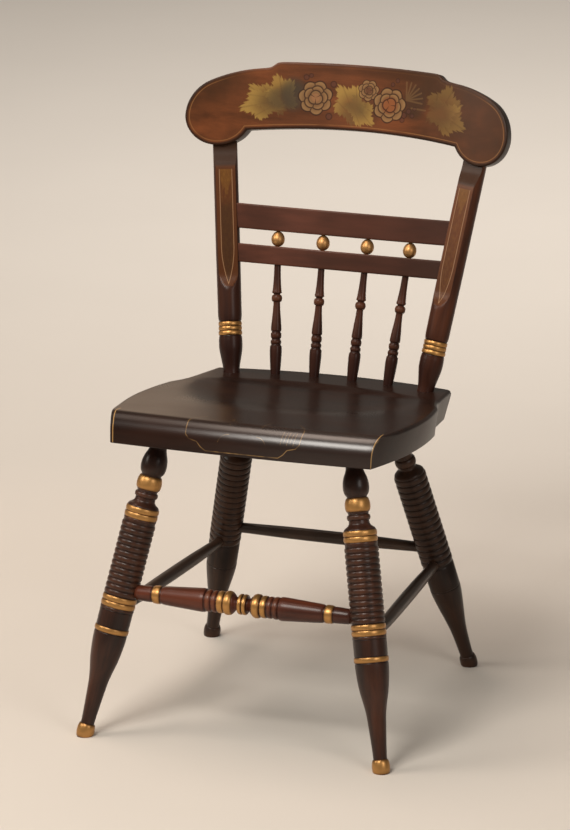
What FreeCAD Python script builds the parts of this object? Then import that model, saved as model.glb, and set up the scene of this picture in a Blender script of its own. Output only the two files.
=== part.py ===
"""Painted side chair: plank seat, ribbed splayed legs, spindle back and scroll-ended crest.

The origin is on the floor under the middle of the chair. X runs to the right of a viewer who
faces the chair, Y runs from its front to its back, and Z is up. Lengths are in millimetres.
"""
import FreeCAD, Part
import math
import os
import Sketcher

Vector = FreeCAD.Vector

# Driving dimensions, one group for each part of the chair
SIZES = {
    "floor": {
        "front_feet_spread": 440.4, "front_feet_forward": 281.5,
        "rear_feet_spread": 403.8, "rear_feet_back": 183.5,
    },
    "seat": {
        "seat_front_rise": 466.2, "seat_front_setback": 31.0, "seat_depth": 432.0,
        "seat_drop": 42.6, "seat_thickness": 42.8, "seat_front_width": 384.0,
        "seat_full_width": 425.0, "seat_waist_width": 377.0, "seat_rear_width": 360.0,
        "seat_front_bow": 8.5, "seat_rear_bow": 31.0, "seat_undercut": 7.0, "seat_front_roll": 27.0,
        "saddle_depth": 9.0, "saddle_length": 262.0, "saddle_width": 322.0, "saddle_round": 30.0,
        "board_width": 106.0, "glue_line": 0.1,
    },
    "legs": {
        "front_leg_seat_spread": 283.2, "front_leg_seat_setback": 79.3,
        "rear_leg_seat_spread": 228.0, "rear_leg_seat_inset": 93.2,
        "leg_tenon_depth": 27.0, "socket_gap": 0.1, "socket_floor_gap": 0.4,
        "leg_neck": 24.0, "leg_vase": 37.0, "leg_bead": 34.2, "leg_waist": 28.8,
        "leg_collar": 46.6, "leg_rib_top": 47.4, "leg_rib_foot": 47.4, "leg_rib_cut": 1.3,
        "leg_band": 47.2, "leg_ring": 48.6, "leg_ankle": 19.2, "leg_foot_ball": 25.4,
        "rear_leg_collar": 31.0, "rear_leg_barrel": 47.0, "rear_leg_band": 45.2,
    },
    "stretchers": {
        "front_stretcher_rise": 202.6, "side_stretcher_front_rise": 173.2,
        "side_stretcher_rear_rise": 168.7, "rear_stretcher_rise": 190.0,
        "stretcher_tenon_depth": 16.0, "stretcher_tenon": 15.0,
        "side_stretcher_middle": 19.0, "rear_stretcher_middle": 18.6,
        "front_stretcher_neck": 20.6, "front_stretcher_barrel": 34.2, "front_stretcher_ring": 30.0,
        "front_stretcher_gold": 34.5, "front_stretcher_centre": 30.0, "front_stretcher_slim": 15.5,
    },
    "back": {
        "back_foot_inset": 54.15, "back_foot_sink": 5.17, "back_height": 463.5, "back_rake": 127.0,
        "stile_foot_spread": 294.4, "stile_top_spread": 379.0, "stile_tenon_depth": 26.0,
        "stile_foot": 24.0, "stile_swell": 34.2, "stile_ring": 36.0, "stile_shaft": 35.6,
        "stile_scribe_length": 28.0, "stile_flat_cut": 6.9, "stile_scoop_cut": 6.7, "stile_top_tenon": 13.0,
        "stile_top_tenon_length": 30.0,
        "rail_bow": 23.0, "rail_thickness": 17.0, "mortise_depth": 15.0,
        "upper_rail_height": 36.0, "rail_gap": 22.0, "lower_rail_height": 27.0, "lower_rail_rise": 165.3,
        "spindle_foot": 13.0, "spindle_barrel": 17.4, "spindle_bead": 15.6, "spindle_ring": 15.4,
        "spindle_neck": 9.8, "spindle_top": 9.6, "spindle_tenon_depth": 20.0, "spindle_dowel": 8.0,
        "spindle_dowel_depth": 10.0, "ball_width": 18.4, "ball_dowel": 6.0, "ball_dowel_depth": 9.0,
    },
    "crest": {
        "crest_overhang": 54.5, "crest_height": 132.5, "crest_thickness": 24.0, "crest_bow": 51.0,
        "crest_crown": 4.8, "crest_arch": 12.0,
    },
    "construction": {"overrun": 20.0},
}

# Counts, and shares that place points along an outline or a turning
FRONT_RIBS = 13
REAR_RIBS = 15
BOARDS = 4
RINGS = 3
ROLL_SWING = 20
STILE_TURN = 17
SPINDLE_SHARES = (-0.58, -0.195, 0.195, 0.58)
SEAT_SIDE_SHARES = {
    "end": 0.632, "waist": 0.745, "turn": 0.625, "front": 0.2, "waist_bow": 0.1, "saddle": 0.575,
}
ROUND_SHARE = 1 - math.sqrt(0.5)
FOOT_SHARES = (("ankle", 1, -0.5), ("ball", 1, 0.55), ("ball", 1, 0.95), ("ankle", 1, 1.45))
TAPER_SHARES = ((0.10, 0.35), (0.31, 0.53), (0.70, 0.72), (0.87, 0.82), (1, 0.975))
LEG_RING_SHARES = {"front": 0.350, "rear": 0.345}
FRONT_LEG_LOW_SHARES = (
    ("ring", 1, 0.359), ("band", 0.94, 0.369), ("band", 1, 0.373), ("band", 1, 0.420), ("band", 0.94, 0.426),
    ("ring", 1, 0.443), ("band", 0.94, 0.453), ("ring", 1, 0.463),
)
FRONT_LEG_RIB_SHARES = (0.474, 0.716)
FRONT_LEG_HIGH_SHARES = (
    ("collar", 1, 0.727), ("collar", 0.94, 0.7385), ("collar", 1, 0.750), ("collar", 0.88, 0.764),
    ("waist", 1, 0.780), ("waist", 1, 0.790), ("bead", 1, 0.806), ("waist", 1, 0.818),
    ("bead", 1, 0.834), ("bead", 1, 0.852), ("waist", 1, 0.868),
    ("vase", 1, 0.894), ("vase", 1, 0.922), ("neck", 1, 0.970),
)
REAR_LEG_LOW_SHARES = (("rear_band", 0.94, 0.338), ("rear_band", 1, 0.346), ("rear_band", 1, 0.423))
REAR_LEG_RIB_SHARES = (0.430, 0.790)
REAR_LEG_HIGH_SHARES = (
    ("barrel", 0.88, 0.808), ("waist", 0.9, 0.818), ("waist", 0.9, 0.826),
    ("rear_collar", 1, 0.836), ("rear_collar", 1, 0.856), ("waist", 0.9, 0.870),
    ("vase", 1, 0.896), ("vase", 1, 0.925), ("neck", 1, 0.970),
)
STRETCHER_SHARE = 0.35
FRONT_STRETCHER_SHARES = (
    ("centre", 0.93, 0), ("centre", 1, 0.020), ("centre", 0.87, 0.041), ("slim", 1, 0.056),
    ("gold", 0.80, 0.100), ("gold", 1, 0.130), ("gold", 0.92, 0.162), ("gold", 1, 0.194),
    ("gold", 0.84, 0.222),
    ("ring", 1, 0.242), ("ring", 0.92, 0.256), ("ring", 1, 0.270), ("ring", 0.90, 0.290),
    ("barrel", 1, 0.313), ("ring", 0.82, 0.682), ("neck", 0.95, 0.692),
    ("ring", 1, 0.706), ("ring", 1, 0.734), ("neck", 1, 0.748), ("neck", 1, 0.820),
)
STILE_FOOT_SHARES = (("foot", 1, 0.035), ("middle", 1, 0.072), ("swell", 1, 0.115), ("swell", 1, 0.160))
STILE_RING_SHARES = (0.172, 0.021)
STILE_MIDDLE_SHARE = 0.62
STILE_GROOVE_SHARE = 0.965
STILE_SHAFT_SHARES = (("swell", STILE_GROOVE_SHARE, 0.235), ("swell", 1, 0.245), ("shaft", 1, 0.60))
STILE_FACE_SHARES = {"tip": 0.385, "flat": 0.435, "scoop": 0.905}
SPINDLE_TURNING_SHARES = (
    ("foot", 1, 0.06), ("barrel", 1, 0.29), ("bead", 0.86, 0.305), ("bead", 1, 0.33), ("bead", 0.86, 0.36),
    ("bead", 1, 0.39), ("bead", 0.84, 0.415), ("bead", 1, 0.435), ("neck", 1, 0.655), ("ring", 1, 0.69),
    ("ring", 1, 0.725), ("neck", 1, 0.75), ("ring", 0.90, 0.775), ("top", 1, 0.93),
)
BALL_SHARES = (("ball", 0.74, 0.10), ("ball", 0.97, 0.32), ("ball", 0.97, 0.58), ("ball", 0.76, 0.82))
CREST_SHARES = (
    ((0.647, 0.192), None), ((0.837, 0), -0.020), ((1, 0.325), -0.093), ((0.872, 0.709), -0.060),
    ((0.544, 0.891), -0.034), ((0.501, 0.964), None),
)

doc = FreeCAD.newDocument("SideChair")
pieces = []


class Size:
    """A length as a number, together with the formula that gives it from the sheets' cells."""

    def __init__(self, number, formula):
        self.number = float(number)
        self.formula = formula

    def joined(self, sign, other, number):
        return Size(number, f"({self.formula} {sign} {as_size(other).formula})")

    def __add__(self, other):
        return self.joined("+", other, self.number + as_size(other).number)

    def __sub__(self, other):
        return self.joined("-", other, self.number - as_size(other).number)

    def __mul__(self, other):
        return self.joined("*", other, self.number * as_size(other).number)

    def __truediv__(self, other):
        return self.joined("/", other, self.number / as_size(other).number)

    def __neg__(self):
        return Size(-self.number, f"(-1 * {self.formula})")

    def root(self):
        return Size(math.sqrt(self.number), f"sqrt({self.formula})")


def as_size(value):
    return value if isinstance(value, Size) else Size(value, repr(value))


ZERO = Size(0, "0")


# Sheets: the driving dimensions, and the lengths worked out from them
def fill_sizes():
    """Writes the driving dimensions to a sheet and returns them by name."""
    sheet = doc.addObject("Spreadsheet::Sheet", "Sizes")
    named = {}
    row = 1
    for group, cells in SIZES.items():
        sheet.set(f"A{row}", group)
        row += 1
        for alias, number in cells.items():
            sheet.set(f"A{row}", alias)
            sheet.set(f"B{row}", str(number))
            sheet.setAlias(f"B{row}", alias)
            named[alias] = Size(number, f"Sizes.{alias}")
            row += 1
    return named


size = fill_sizes()
worked_sheet = doc.addObject("Spreadsheet::Sheet", "Worked")
worked_rows = []


def worked(alias, value):
    """Keeps a length that follows from others in a cell of its own."""
    worked_rows.append(alias)
    row = len(worked_rows)
    worked_sheet.set(f"A{row}", alias)
    worked_sheet.set(f"B{row}", f"={value.formula}")
    worked_sheet.setAlias(f"B{row}", alias)
    return Size(value.number, f"Worked.{alias}")


def span(first, second):
    """The distance between two points given as triples of sizes."""
    total = ZERO
    for low, high in zip(first, second):
        total = total + (high - low) * (high - low)
    return total.root()


def at_height(first, second, height):
    """The point at a given height on the line through two points."""
    share = (height - first[2]) / (second[2] - first[2])
    return tuple(low + (high - low) * share for low, high in zip(first, second))


def mirrored(point):
    return (-point[0], point[1], point[2])


def vector(point):
    return Vector(*(part.number for part in point))


# Frames: every piece is made about its own axes and then placed
def placed_along(start, end):
    """A placement whose Z axis runs from one point towards another."""
    direction = vector(end) - vector(start)
    return FreeCAD.Placement(vector(start), FreeCAD.Rotation(Vector(0, 0, 1), direction))


def leaning(point, fall, run):
    """A placement tipped about X, where a length along the piece falls or rises by a height."""
    angle = math.degrees(math.asin(fall / run))
    return FreeCAD.Placement(vector(point), FreeCAD.Rotation(Vector(1, 0, 0), angle))


def bind(item, name, value):
    item.setExpression(name, value.formula)


# Sketches: points, straight stretches and arcs, each held by a formula
def origin_plane(body, role):
    return next(part for part in body.Origin.OriginFeatures if part.Role == role)


def outline(body, name, role, points):
    """Draws a closed outline: each point is (x, y, rise), where rise bows the stretch that ends there.

    A positive rise bows the stretch to the left of its direction of travel.
    """
    sketch = body.newObject("Sketcher::SketchObject", name)
    sketch.AttachmentSupport = [(origin_plane(body, role), "")]
    sketch.MapMode = "FlatFace"
    starts = points[-1:] + points[:-1]
    edges = []
    ends = []
    for (x0, y0, _), (x1, y1, rise) in zip(starts, points):
        first = Vector(x0.number, y0.number, 0)
        last = Vector(x1.number, y1.number, 0)
        if rise is None:
            edges.append(Part.LineSegment(first, last))
            ends.append((1, 2))
            continue
        chord = last - first
        side = Vector(-chord.y, chord.x, 0).normalize()
        edges.append(Part.Arc(first, (first + last) * 0.5 + side * rise.number, last))
        ends.append((2, 1) if rise.number > 0 else (1, 2))
    sketch.addGeometry(edges, False)
    rules = []
    formulas = []
    for index, (x1, y1, rise) in enumerate(points):
        following = (index + 1) % len(points)
        rules.append(Sketcher.Constraint("Coincident", index, ends[index][1], following, ends[following][0]))
        formulas.append(None)
        for kind, value in (("DistanceX", x1), ("DistanceY", y1)):
            rules.append(Sketcher.Constraint(kind, index, ends[index][1], value.number))
            formulas.append(value)
        if rise is not None:
            x0, y0, _ = starts[index]
            chord = (x1 - x0) * (x1 - x0) + (y1 - y0) * (y1 - y0)
            depth = rise if rise.number > 0 else -rise
            radius = chord / (depth * 8) + depth / 2
            rules.append(Sketcher.Constraint("Radius", index, radius.number))
            formulas.append(radius)
    sketch.addConstraint(rules)
    for index, value in enumerate(formulas):
        if value is not None and value is not ZERO:
            bind(sketch, f"Constraints[{index}]", value)
    return sketch


def turned(name, stations):
    """Turns a piece from stations of (radius, height, rise), listed from its foot to its top."""
    body = doc.addObject("PartDesign::Body", name)
    first = stations[0]
    last = stations[-1]
    points = [(ZERO, first[1], None)]
    points += [(radius, height, -rise if rise is not None else None) for radius, height, rise in stations]
    points += [(ZERO, last[1], None)]
    sketch = outline(body, f"{name}_profile", "XZ_Plane", points)
    turning = body.newObject("PartDesign::Revolution", f"{name}_turning")
    turning.Profile = sketch
    turning.ReferenceAxis = (sketch, ["V_Axis"])
    turning.Angle = 360
    body.Tip = turning
    return body


def padded(name, role, points, length, midplane=False):
    """Pads an outline into a body of its own."""
    body = doc.addObject("PartDesign::Body", name)
    pad = body.newObject("PartDesign::Pad", f"{name}_pad")
    pad.Profile = outline(body, f"{name}_outline", role, points)
    pad.Midplane = midplane
    bind(pad, "Length", length)
    body.Tip = pad
    return body


def rod(name, radius, length):
    item = doc.addObject("Part::Cylinder", name)
    bind(item, "Radius", radius)
    bind(item, "Height", length)
    return item


def block(name, length, width, height):
    item = doc.addObject("Part::Box", name)
    bind(item, "Length", length)
    bind(item, "Width", width)
    bind(item, "Height", height)
    return item


def cut(name, base, tools):
    """Cuts a piece with one tool, or with several gathered into a compound."""
    tool = tools[0]
    if len(tools) > 1:
        tool = doc.addObject("Part::Compound", f"{name}_tools")
        tool.Links = tools
    item = doc.addObject("Part::Cut", name)
    item.Base = base
    item.Tool = tool
    return item


def kept(item, label):
    """Gives a finished piece the name that its file takes."""
    item.Label = label
    pieces.append(item)
    return item


# Lines of the chair: where the legs, stretchers, seat and back run
gap = size["socket_gap"]
seat_fall = size["seat_drop"] / size["seat_depth"]
seat_level = worked("seat_level", (ZERO + 1 - seat_fall * seat_fall).root())
seat_front = (ZERO, size["seat_front_setback"] - size["front_feet_forward"], size["seat_front_rise"])


def seat_point(x, back, up):
    """A point given in the seat's own directions: across, back along its top, and square up from it."""
    y = seat_front[1] + back * seat_level + up * seat_fall
    return (x, y, seat_front[2] - back * seat_fall + up * seat_level)


def seat_placement(point):
    """The seat falls towards its back."""
    return leaning(point, -size["seat_drop"].number, size["seat_depth"].number)


back_sine = size["back_rake"] / size["back_height"]
back_cosine = worked("back_cosine", (ZERO + 1 - back_sine * back_sine).root())
back_foot = seat_point(ZERO, size["seat_depth"] - size["back_foot_inset"], -size["back_foot_sink"])


def back_point(x, behind, up):
    """A point in the back's own directions: across, square behind its plane, and up along it."""
    y = back_foot[1] + behind * back_cosine + up * back_sine
    return (x, y, back_foot[2] - behind * back_sine + up * back_cosine)


def back_placement():
    """The back's plane tips away from the sitter."""
    return leaning(back_foot, -size["back_rake"].number, size["back_height"].number)


stile_rise = worked("stile_rise", size["back_height"] - size["crest_height"])
crest_half = worked("crest_half", size["stile_top_spread"] / 2 + size["crest_overhang"])


def stile_line(up):
    """Half the distance between the stiles at a height up the back."""
    share = up / stile_rise
    return size["stile_foot_spread"] / 2 + (size["stile_top_spread"] - size["stile_foot_spread"]) * share / 2


def bowed(half, bow, x):
    """How far a bow of a given half-span lies behind its ends at a distance from its middle."""
    radius = (half * half + bow * bow) / (bow * 2)
    return (radius * radius - x * x).root() - radius + bow


def leg_line(side):
    """The foot on the floor and the point where a right-hand leg's axis meets the seat's underside."""
    if side == "front":
        foot = (size["front_feet_spread"] / 2, -size["front_feet_forward"], ZERO)
        spread = size["front_leg_seat_spread"]
        setback = size["front_leg_seat_setback"]
    else:
        foot = (size["rear_feet_spread"] / 2, size["rear_feet_back"], ZERO)
        spread = size["rear_leg_seat_spread"]
        setback = size["seat_depth"] - size["rear_leg_seat_inset"]
    return foot, seat_point(spread / 2, setback, -size["seat_thickness"])


front_foot, front_seat = leg_line("front")
rear_foot, rear_seat = leg_line("rear")


# Turnings: stations are (radius, height, rise), listed from the foot of a piece to its top
def half_widths(prefix, *names):
    """Radii by the last word of the name of each size."""
    return {name: size[f"{prefix}_{name}"] / 2 for name in names}


def table_stations(length, widths, shares):
    """The stations of a table whose rows name a width and give shares of that width and of the length."""
    return [(widths[name] * wide, length * place, None) for name, wide, place in shares]


# Legs: turned with a vase, beads, a ribbed barrel and an ogee taper to a ball foot
leg_widths = half_widths("leg", "neck", "vase", "bead", "waist", "collar", "band", "ring", "ankle")
leg_widths.update(half_widths("rear_leg", "barrel"))
leg_widths["rear_collar"] = size["rear_leg_collar"] / 2
leg_widths["rear_band"] = size["rear_leg_band"] / 2
leg_widths["ball"] = size["leg_foot_ball"] / 2


def ribs(length, shares, count, low, high):
    """Stations of ribs between two heights: each rises from its groove to an edge and falls again."""
    foot = length * shares[0]
    pitch = (length * shares[1] - foot) / count
    stations = []
    for number in range(count):
        start = foot + pitch * number
        swell = low + (high - low) * ((number + 0.5) / count)
        stations.append((swell - size["leg_rib_cut"], start, None))
        stations.append((swell, start + pitch / 2, None))
    stations.append((high - size["leg_rib_cut"], foot + pitch * count, None))
    return stations


def ankle(length, side):
    """The ball foot and the ogee taper up to the ring, as stations from the floor."""
    slim = leg_widths["ankle"]
    swell = leg_widths["band" if side == "front" else "rear_band"] - slim
    taper = length * LEG_RING_SHARES[side]
    stations = table_stations(leg_widths["ball"], leg_widths, FOOT_SHARES)
    return stations + [(slim + swell * wide, taper * place, None) for wide, place in TAPER_SHARES]


def front_leg_stations(length):
    """A front leg, with its beads and rings placed by shares of its length."""
    stations = ankle(length, "front") + table_stations(length, leg_widths, FRONT_LEG_LOW_SHARES)
    low, high = size["leg_rib_foot"] / 2, size["leg_rib_top"] / 2
    stations += ribs(length, FRONT_LEG_RIB_SHARES, FRONT_RIBS, low, high)
    stations += table_stations(length, leg_widths, FRONT_LEG_HIGH_SHARES)
    return stations + [(leg_widths["neck"], leg_top(length), None)]


def rear_leg_stations(length):
    """A rear leg: plainer, with a longer ribbed barrel below a beaded collar."""
    barrel = leg_widths["barrel"]
    stations = ankle(length, "rear") + table_stations(length, leg_widths, REAR_LEG_LOW_SHARES)
    stations += ribs(length, REAR_LEG_RIB_SHARES, REAR_RIBS, barrel, barrel)
    stations += table_stations(length, leg_widths, REAR_LEG_HIGH_SHARES)
    return stations + [(leg_widths["neck"], leg_top(length), None)]


def leg_top(length):
    return length + size["leg_tenon_depth"] - size["socket_floor_gap"]


inset = worked("stretcher_inset", size["leg_band"] / 2 - size["stretcher_tenon_depth"])


def socket(name, start, end, radius, first, length):
    """A drill along the line from one point to another, beginning at a distance along it."""
    drill = rod(name, radius + gap, length)
    drill.Placement = placed_along(start, end)
    drill.Placement.Base = vector(start) + drill.Placement.Rotation.multVec(Vector(0, 0, first.number))
    return drill


def stretcher_socket(name, start, end):
    """The hole in the leg at the start of a stretcher's line."""
    depth = size["stretcher_tenon_depth"] + size["overrun"]
    return socket(name, start, end, size["stretcher_tenon"] / 2, inset - size["socket_floor_gap"], depth)


def floor_trim(name, foot):
    """The block under the floor that saws a splayed foot level."""
    reach = size["leg_foot_ball"] * 2
    trim = block(name, reach, reach, reach)
    corner = (foot[0] - reach / 2, foot[1] - reach / 2, -reach)
    trim.Placement.Base = vector(corner)
    return trim


def build_leg(side, hand, stations, sockets):
    """Turns a leg, saws its foot level and bores its stretcher sockets."""
    name = f"{side}_leg_{hand}"
    foot, seat = leg_line(side)
    if hand == "left":
        foot, seat = mirrored(foot), mirrored(seat)
    turning = turned(f"{name}_turning", stations)
    turning.Placement = placed_along(foot, seat)
    tools = [floor_trim(f"{name}_floor", foot)]
    tools += [stretcher_socket(f"{name}_{key}_socket", start, end) for key, start, end in sockets]
    kept(cut(name, turning, tools), name)
    neck = size["leg_neck"] / 2
    return socket(f"{name}_seat_socket", seat, along(foot, seat), neck, -size["overrun"], drill_length("leg"))


def along(start, end):
    """A point beyond the end of a line, as far again."""
    return tuple(last * 2 - first for first, last in zip(start, end))


def drill_length(kind):
    return size["overrun"] + size[f"{kind}_tenon_depth"]


front_length = worked("front_leg_length", span(front_foot, front_seat))
rear_length = worked("rear_leg_length", span(rear_foot, rear_seat))
front_joint = at_height(front_foot, front_seat, size["front_stretcher_rise"])
side_front_joint = at_height(front_foot, front_seat, size["side_stretcher_front_rise"])
side_rear_joint = at_height(rear_foot, rear_seat, size["side_stretcher_rear_rise"])
rear_joint = at_height(rear_foot, rear_seat, size["rear_stretcher_rise"])

seat_tools = []
for hand, turn in (("left", mirrored), ("right", tuple)):
    other = tuple if turn is mirrored else mirrored
    front_sockets = [("front", turn(front_joint), other(front_joint))]
    front_sockets += [("side", turn(side_front_joint), turn(side_rear_joint))]
    rear_sockets = [("rear", turn(rear_joint), other(rear_joint))]
    rear_sockets += [("side", turn(side_rear_joint), turn(side_front_joint))]
    seat_tools.append(build_leg("front", hand, front_leg_stations(front_length), front_sockets))
    seat_tools.append(build_leg("rear", hand, rear_leg_stations(rear_length), rear_sockets))


# Stretchers: plain swelled rods at the sides and back, and a turned one at the front
shoulder = worked("stretcher_shoulder", size["leg_band"] / 2 + size["stretcher_tenon"] / 4)


def swelled_rod(length, middle):
    """A rod that is thickest in the middle and slims to its tenons."""
    tenon = size["stretcher_tenon"] / 2
    ends = [(tenon, inset, None), (tenon, shoulder, None), (middle / 2, length * STRETCHER_SHARE, None)]
    return ends + [(radius, length - height, rise) for radius, height, rise in reversed(ends)]


def front_stretcher_stations(length):
    """Beads and barrels of the front stretcher, placed by shares of its half length from the middle."""
    widths = half_widths("front_stretcher", "slim", "gold", "ring", "neck", "centre", "barrel")
    tenon = size["stretcher_tenon"] / 2
    half = length / 2
    turning = table_stations(half, widths, FRONT_STRETCHER_SHARES)
    outer = [(radius, half + reach, None) for radius, reach, _ in turning]
    outer += [(tenon, length - shoulder, None), (tenon, length - inset, None)]
    inner = [(radius, length - height, rise) for radius, height, rise in reversed(outer[1:])]
    return inner + outer


def build_stretcher(name, start, end, stations_of, *middle):
    length = worked(f"{name}_line", span(start, end))
    body = turned(f"{name}_turning", stations_of(length, *middle))
    body.Placement = placed_along(start, end)
    kept(body, name)


build_stretcher("front_stretcher", mirrored(front_joint), front_joint, front_stretcher_stations)
rear_ends = (mirrored(rear_joint), rear_joint)
build_stretcher("rear_stretcher", *rear_ends, swelled_rod, size["rear_stretcher_middle"])
for hand, turn in (("left", mirrored), ("right", tuple)):
    ends = (turn(side_front_joint), turn(side_rear_joint))
    build_stretcher(f"side_stretcher_{hand}", *ends, swelled_rod, size["side_stretcher_middle"])


# Back frame: bowed rails, stiles with a planed face, and the crest that caps them
def bowed_board(name, half, thickness, height, bow, rise, behind=ZERO):
    """A board bent back in the middle, standing in the back's plane at a height up it."""
    front = -(thickness / 2)
    back = thickness / 2
    points = [(half, front, bow), (half, back, None), (-half, back, -bow), (-half, front, None)]
    board = padded(name, "XY_Plane", points, height)
    board.Placement = back_placement()
    board.Placement.Base = vector(back_point(ZERO, behind, rise))
    return board


def rail_half(rise, height):
    """Half the length of a rail, to the bottom of its mortises."""
    return stile_line(rise + height / 2) - size["stile_shaft"] / 2 + size["mortise_depth"]


lower_rise = size["lower_rail_rise"]
upper_rise = lower_rise + size["lower_rail_height"] + size["rail_gap"]
rails = {"lower": (lower_rise, size["lower_rail_height"]), "upper": (upper_rise, size["upper_rail_height"])}
rail_halves = {}
mortises = []
for key, (rise, height) in rails.items():
    half = worked(f"{key}_rail_half", rail_half(rise, height))
    rail_halves[key] = half
    thickness = size["rail_thickness"]
    rails[key] = bowed_board(f"{key}_rail_board", half, thickness, height, size["rail_bow"], rise)
    loose = (thickness + gap * 2, height + gap * 2, size["rail_bow"], rise - gap)
    mortises.append(bowed_board(f"{key}_rail_mortise", half, *loose))


def crest_outline():
    """The crest seen square on, with scroll ends, a raised middle and an arched lower edge."""
    half = crest_half
    height = size["crest_height"]
    points = []
    for (x, z), rise in CREST_SHARES:
        points.append((half * x, stile_rise + height * z, height * rise if rise else None))
    rises = [size["crest_crown"] * -1, points[5][2], points[4][2], points[3][2], points[2][2], points[1][2]]
    left = [(-x, z, rise) for (x, z, _), rise in zip(reversed(points), rises)]
    points[0] = (points[0][0], points[0][1], size["crest_arch"])
    return points + left


def crest_blank():
    """A board bent to the crest's bow, whose middle plane passes through the tops of the stiles."""
    half = crest_half
    behind = bowed(half, size["crest_bow"], size["stile_top_spread"] / 2)
    height = size["crest_height"] + size["overrun"] * 2
    low = stile_rise - size["overrun"]
    reach = half + size["overrun"] / 2
    bow = worked("crest_blank_bow", bowed_reach(half, size["crest_bow"], reach))
    return bowed_board("crest_blank", reach, size["crest_thickness"], height, bow, low,
                       size["crest_bow"] - bow - behind)


def bowed_reach(half, bow, reach):
    """The bow of the same curve carried out to a longer half-span."""
    radius = (half * half + bow * bow) / (bow * 2)
    return radius - (radius * radius - reach * reach).root()


crest_prism = padded("crest_prism", "XZ_Plane", crest_outline(), size["crest_bow"] * 4, True)
crest_prism.Placement = back_placement()
crest_cope = padded("crest_cope", "XZ_Plane", crest_outline(), size["crest_bow"] * 4, True)
crest_cope.Placement = back_placement()
crest_cope.Placement.Base = vector(back_point(ZERO, ZERO, -gap))
crest_shape = doc.addObject("Part::Common", "crest_shape")
crest_shape.Base = crest_blank()
crest_shape.Tool = crest_prism

half_spread = (size["stile_top_spread"] - size["stile_foot_spread"]) / 2
stile_length = worked("stile_length", (half_spread * half_spread + stile_rise * stile_rise).root())


def stile_stations(length):
    """A stile: a slim foot, a swell, three beads and a long shaft."""
    widths = half_widths("stile", "foot", "swell", "ring", "shaft")
    widths["middle"] = widths["foot"] + (widths["swell"] - widths["foot"]) * STILE_MIDDLE_SHARE
    stations = [(widths["foot"], -size["stile_tenon_depth"] + size["socket_floor_gap"], None)]
    stations += table_stations(length, widths, STILE_FOOT_SHARES)
    first, pitch = STILE_RING_SHARES
    for number in range(RINGS):
        groove = length * (first + number * pitch)
        stations.append((widths["swell"] * STILE_GROOVE_SHARE, groove, None))
        stations.append((widths["ring"], groove + length * pitch / 2, None))
    stations += table_stations(length, widths, STILE_SHAFT_SHARES)
    return stations + [(widths["shaft"], length + size["stile_scribe_length"], None)]


def stile_face(name, length):
    """What the plane takes off the front of a stile: a run-out, a long flat and a scoop at the top."""
    shaft = size["stile_shaft"] / 2
    flat = size["stile_flat_cut"] - shaft
    scoop = flat + size["stile_scoop_cut"]
    top = length + size["overrun"] * 2
    tip = length * STILE_FACE_SHARES["tip"]
    points = [
        (-shaft * 2, tip, None), (-shaft, tip, None), (flat, length * STILE_FACE_SHARES["flat"], None),
        (flat, length * STILE_FACE_SHARES["scoop"], None), (scoop, length, None), (scoop, top, None),
        (-shaft * 2, top, None),
    ]
    return padded(name, "YZ_Plane", points, shaft * 4, True)


def build_stile(hand, turn):
    """Turns a stile, planes a face that looks a little inward, mortises and copes it, and adds its tenon."""
    name = f"stile_{hand}"
    foot = turn(back_point(size["stile_foot_spread"] / 2, ZERO, ZERO))
    top = turn(back_point(size["stile_top_spread"] / 2, ZERO, stile_rise))
    axis = (vector(top) - vector(foot)).normalize()
    behind = back_placement().Rotation.multVec(Vector(0, 1, 0))
    placement = FreeCAD.Placement(vector(foot), FreeCAD.Rotation(behind.cross(axis), behind, axis, "ZYX"))
    turning = turned(f"{name}_turning", stile_stations(stile_length))
    face = stile_face(f"{name}_face", stile_length)
    inward = -STILE_TURN if turn is tuple else STILE_TURN
    swing = FreeCAD.Placement(Vector(), FreeCAD.Rotation(Vector(0, 0, 1), inward))
    turning.Placement = placement
    face.Placement = placement * swing
    shaped = cut(f"{name}_shaped", turning, [face, crest_cope] + mortises)
    reach = size["stile_top_tenon_length"] + size["overrun"]
    radius = size["stile_top_tenon"] / 2
    tenon = rod(f"{name}_tenon", radius, reach)
    tenon.Placement = placed_along(foot, top)
    tenon.Placement.Base = vector(top) - axis * size["overrun"].number
    stile = doc.addObject("Part::Fuse", name)
    stile.Base = shaped
    stile.Tool = tenon
    kept(stile, name)
    drill = reach + size["socket_floor_gap"]
    crest_tool = socket(f"{name}_crest_socket", top, along(foot, top), radius, -size["overrun"], drill)
    below = size["stile_tenon_depth"]
    foot_radius = size["stile_foot"] / 2
    seat_tool = socket(f"{name}_seat_socket", foot, top, foot_radius, -below, below + size["overrun"])
    return crest_tool, seat_tool


crest_tools = []
for hand, turn in (("left", mirrored), ("right", tuple)):
    crest_tool, seat_tool = build_stile(hand, turn)
    crest_tools.append(crest_tool)
    seat_tools.append(seat_tool)
kept(cut("crest_rail", crest_shape, crest_tools), "crest_rail")


# Spindles below the rails and the egg-shaped balls between them
def spindle_stations(length):
    """A spindle: a barrel, two beads, a long swell, a ring and a slim top with its dowel."""
    widths = half_widths("spindle", "foot", "barrel", "bead", "ring", "neck", "top", "dowel")
    stations = [(widths["foot"], -size["spindle_tenon_depth"] + size["socket_floor_gap"], None)]
    stations += table_stations(length, widths, SPINDLE_TURNING_SHARES)
    stations += [(widths["top"], length - gap, None), (widths["dowel"], length - gap, None)]
    return stations + [(widths["dowel"], length + size["spindle_dowel_depth"], None)]


def ball_stations(height):
    """An egg-shaped ball between two dowels."""
    widths = {"ball": size["ball_width"] / 2}
    dowel = size["ball_dowel"] / 2
    reach = size["ball_dowel_depth"]
    stations = [(dowel, -reach, None), (dowel, gap, None)] + table_stations(height, widths, BALL_SHARES)
    return stations + [(dowel, height - gap, None), (dowel, height + reach, None)]


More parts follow.
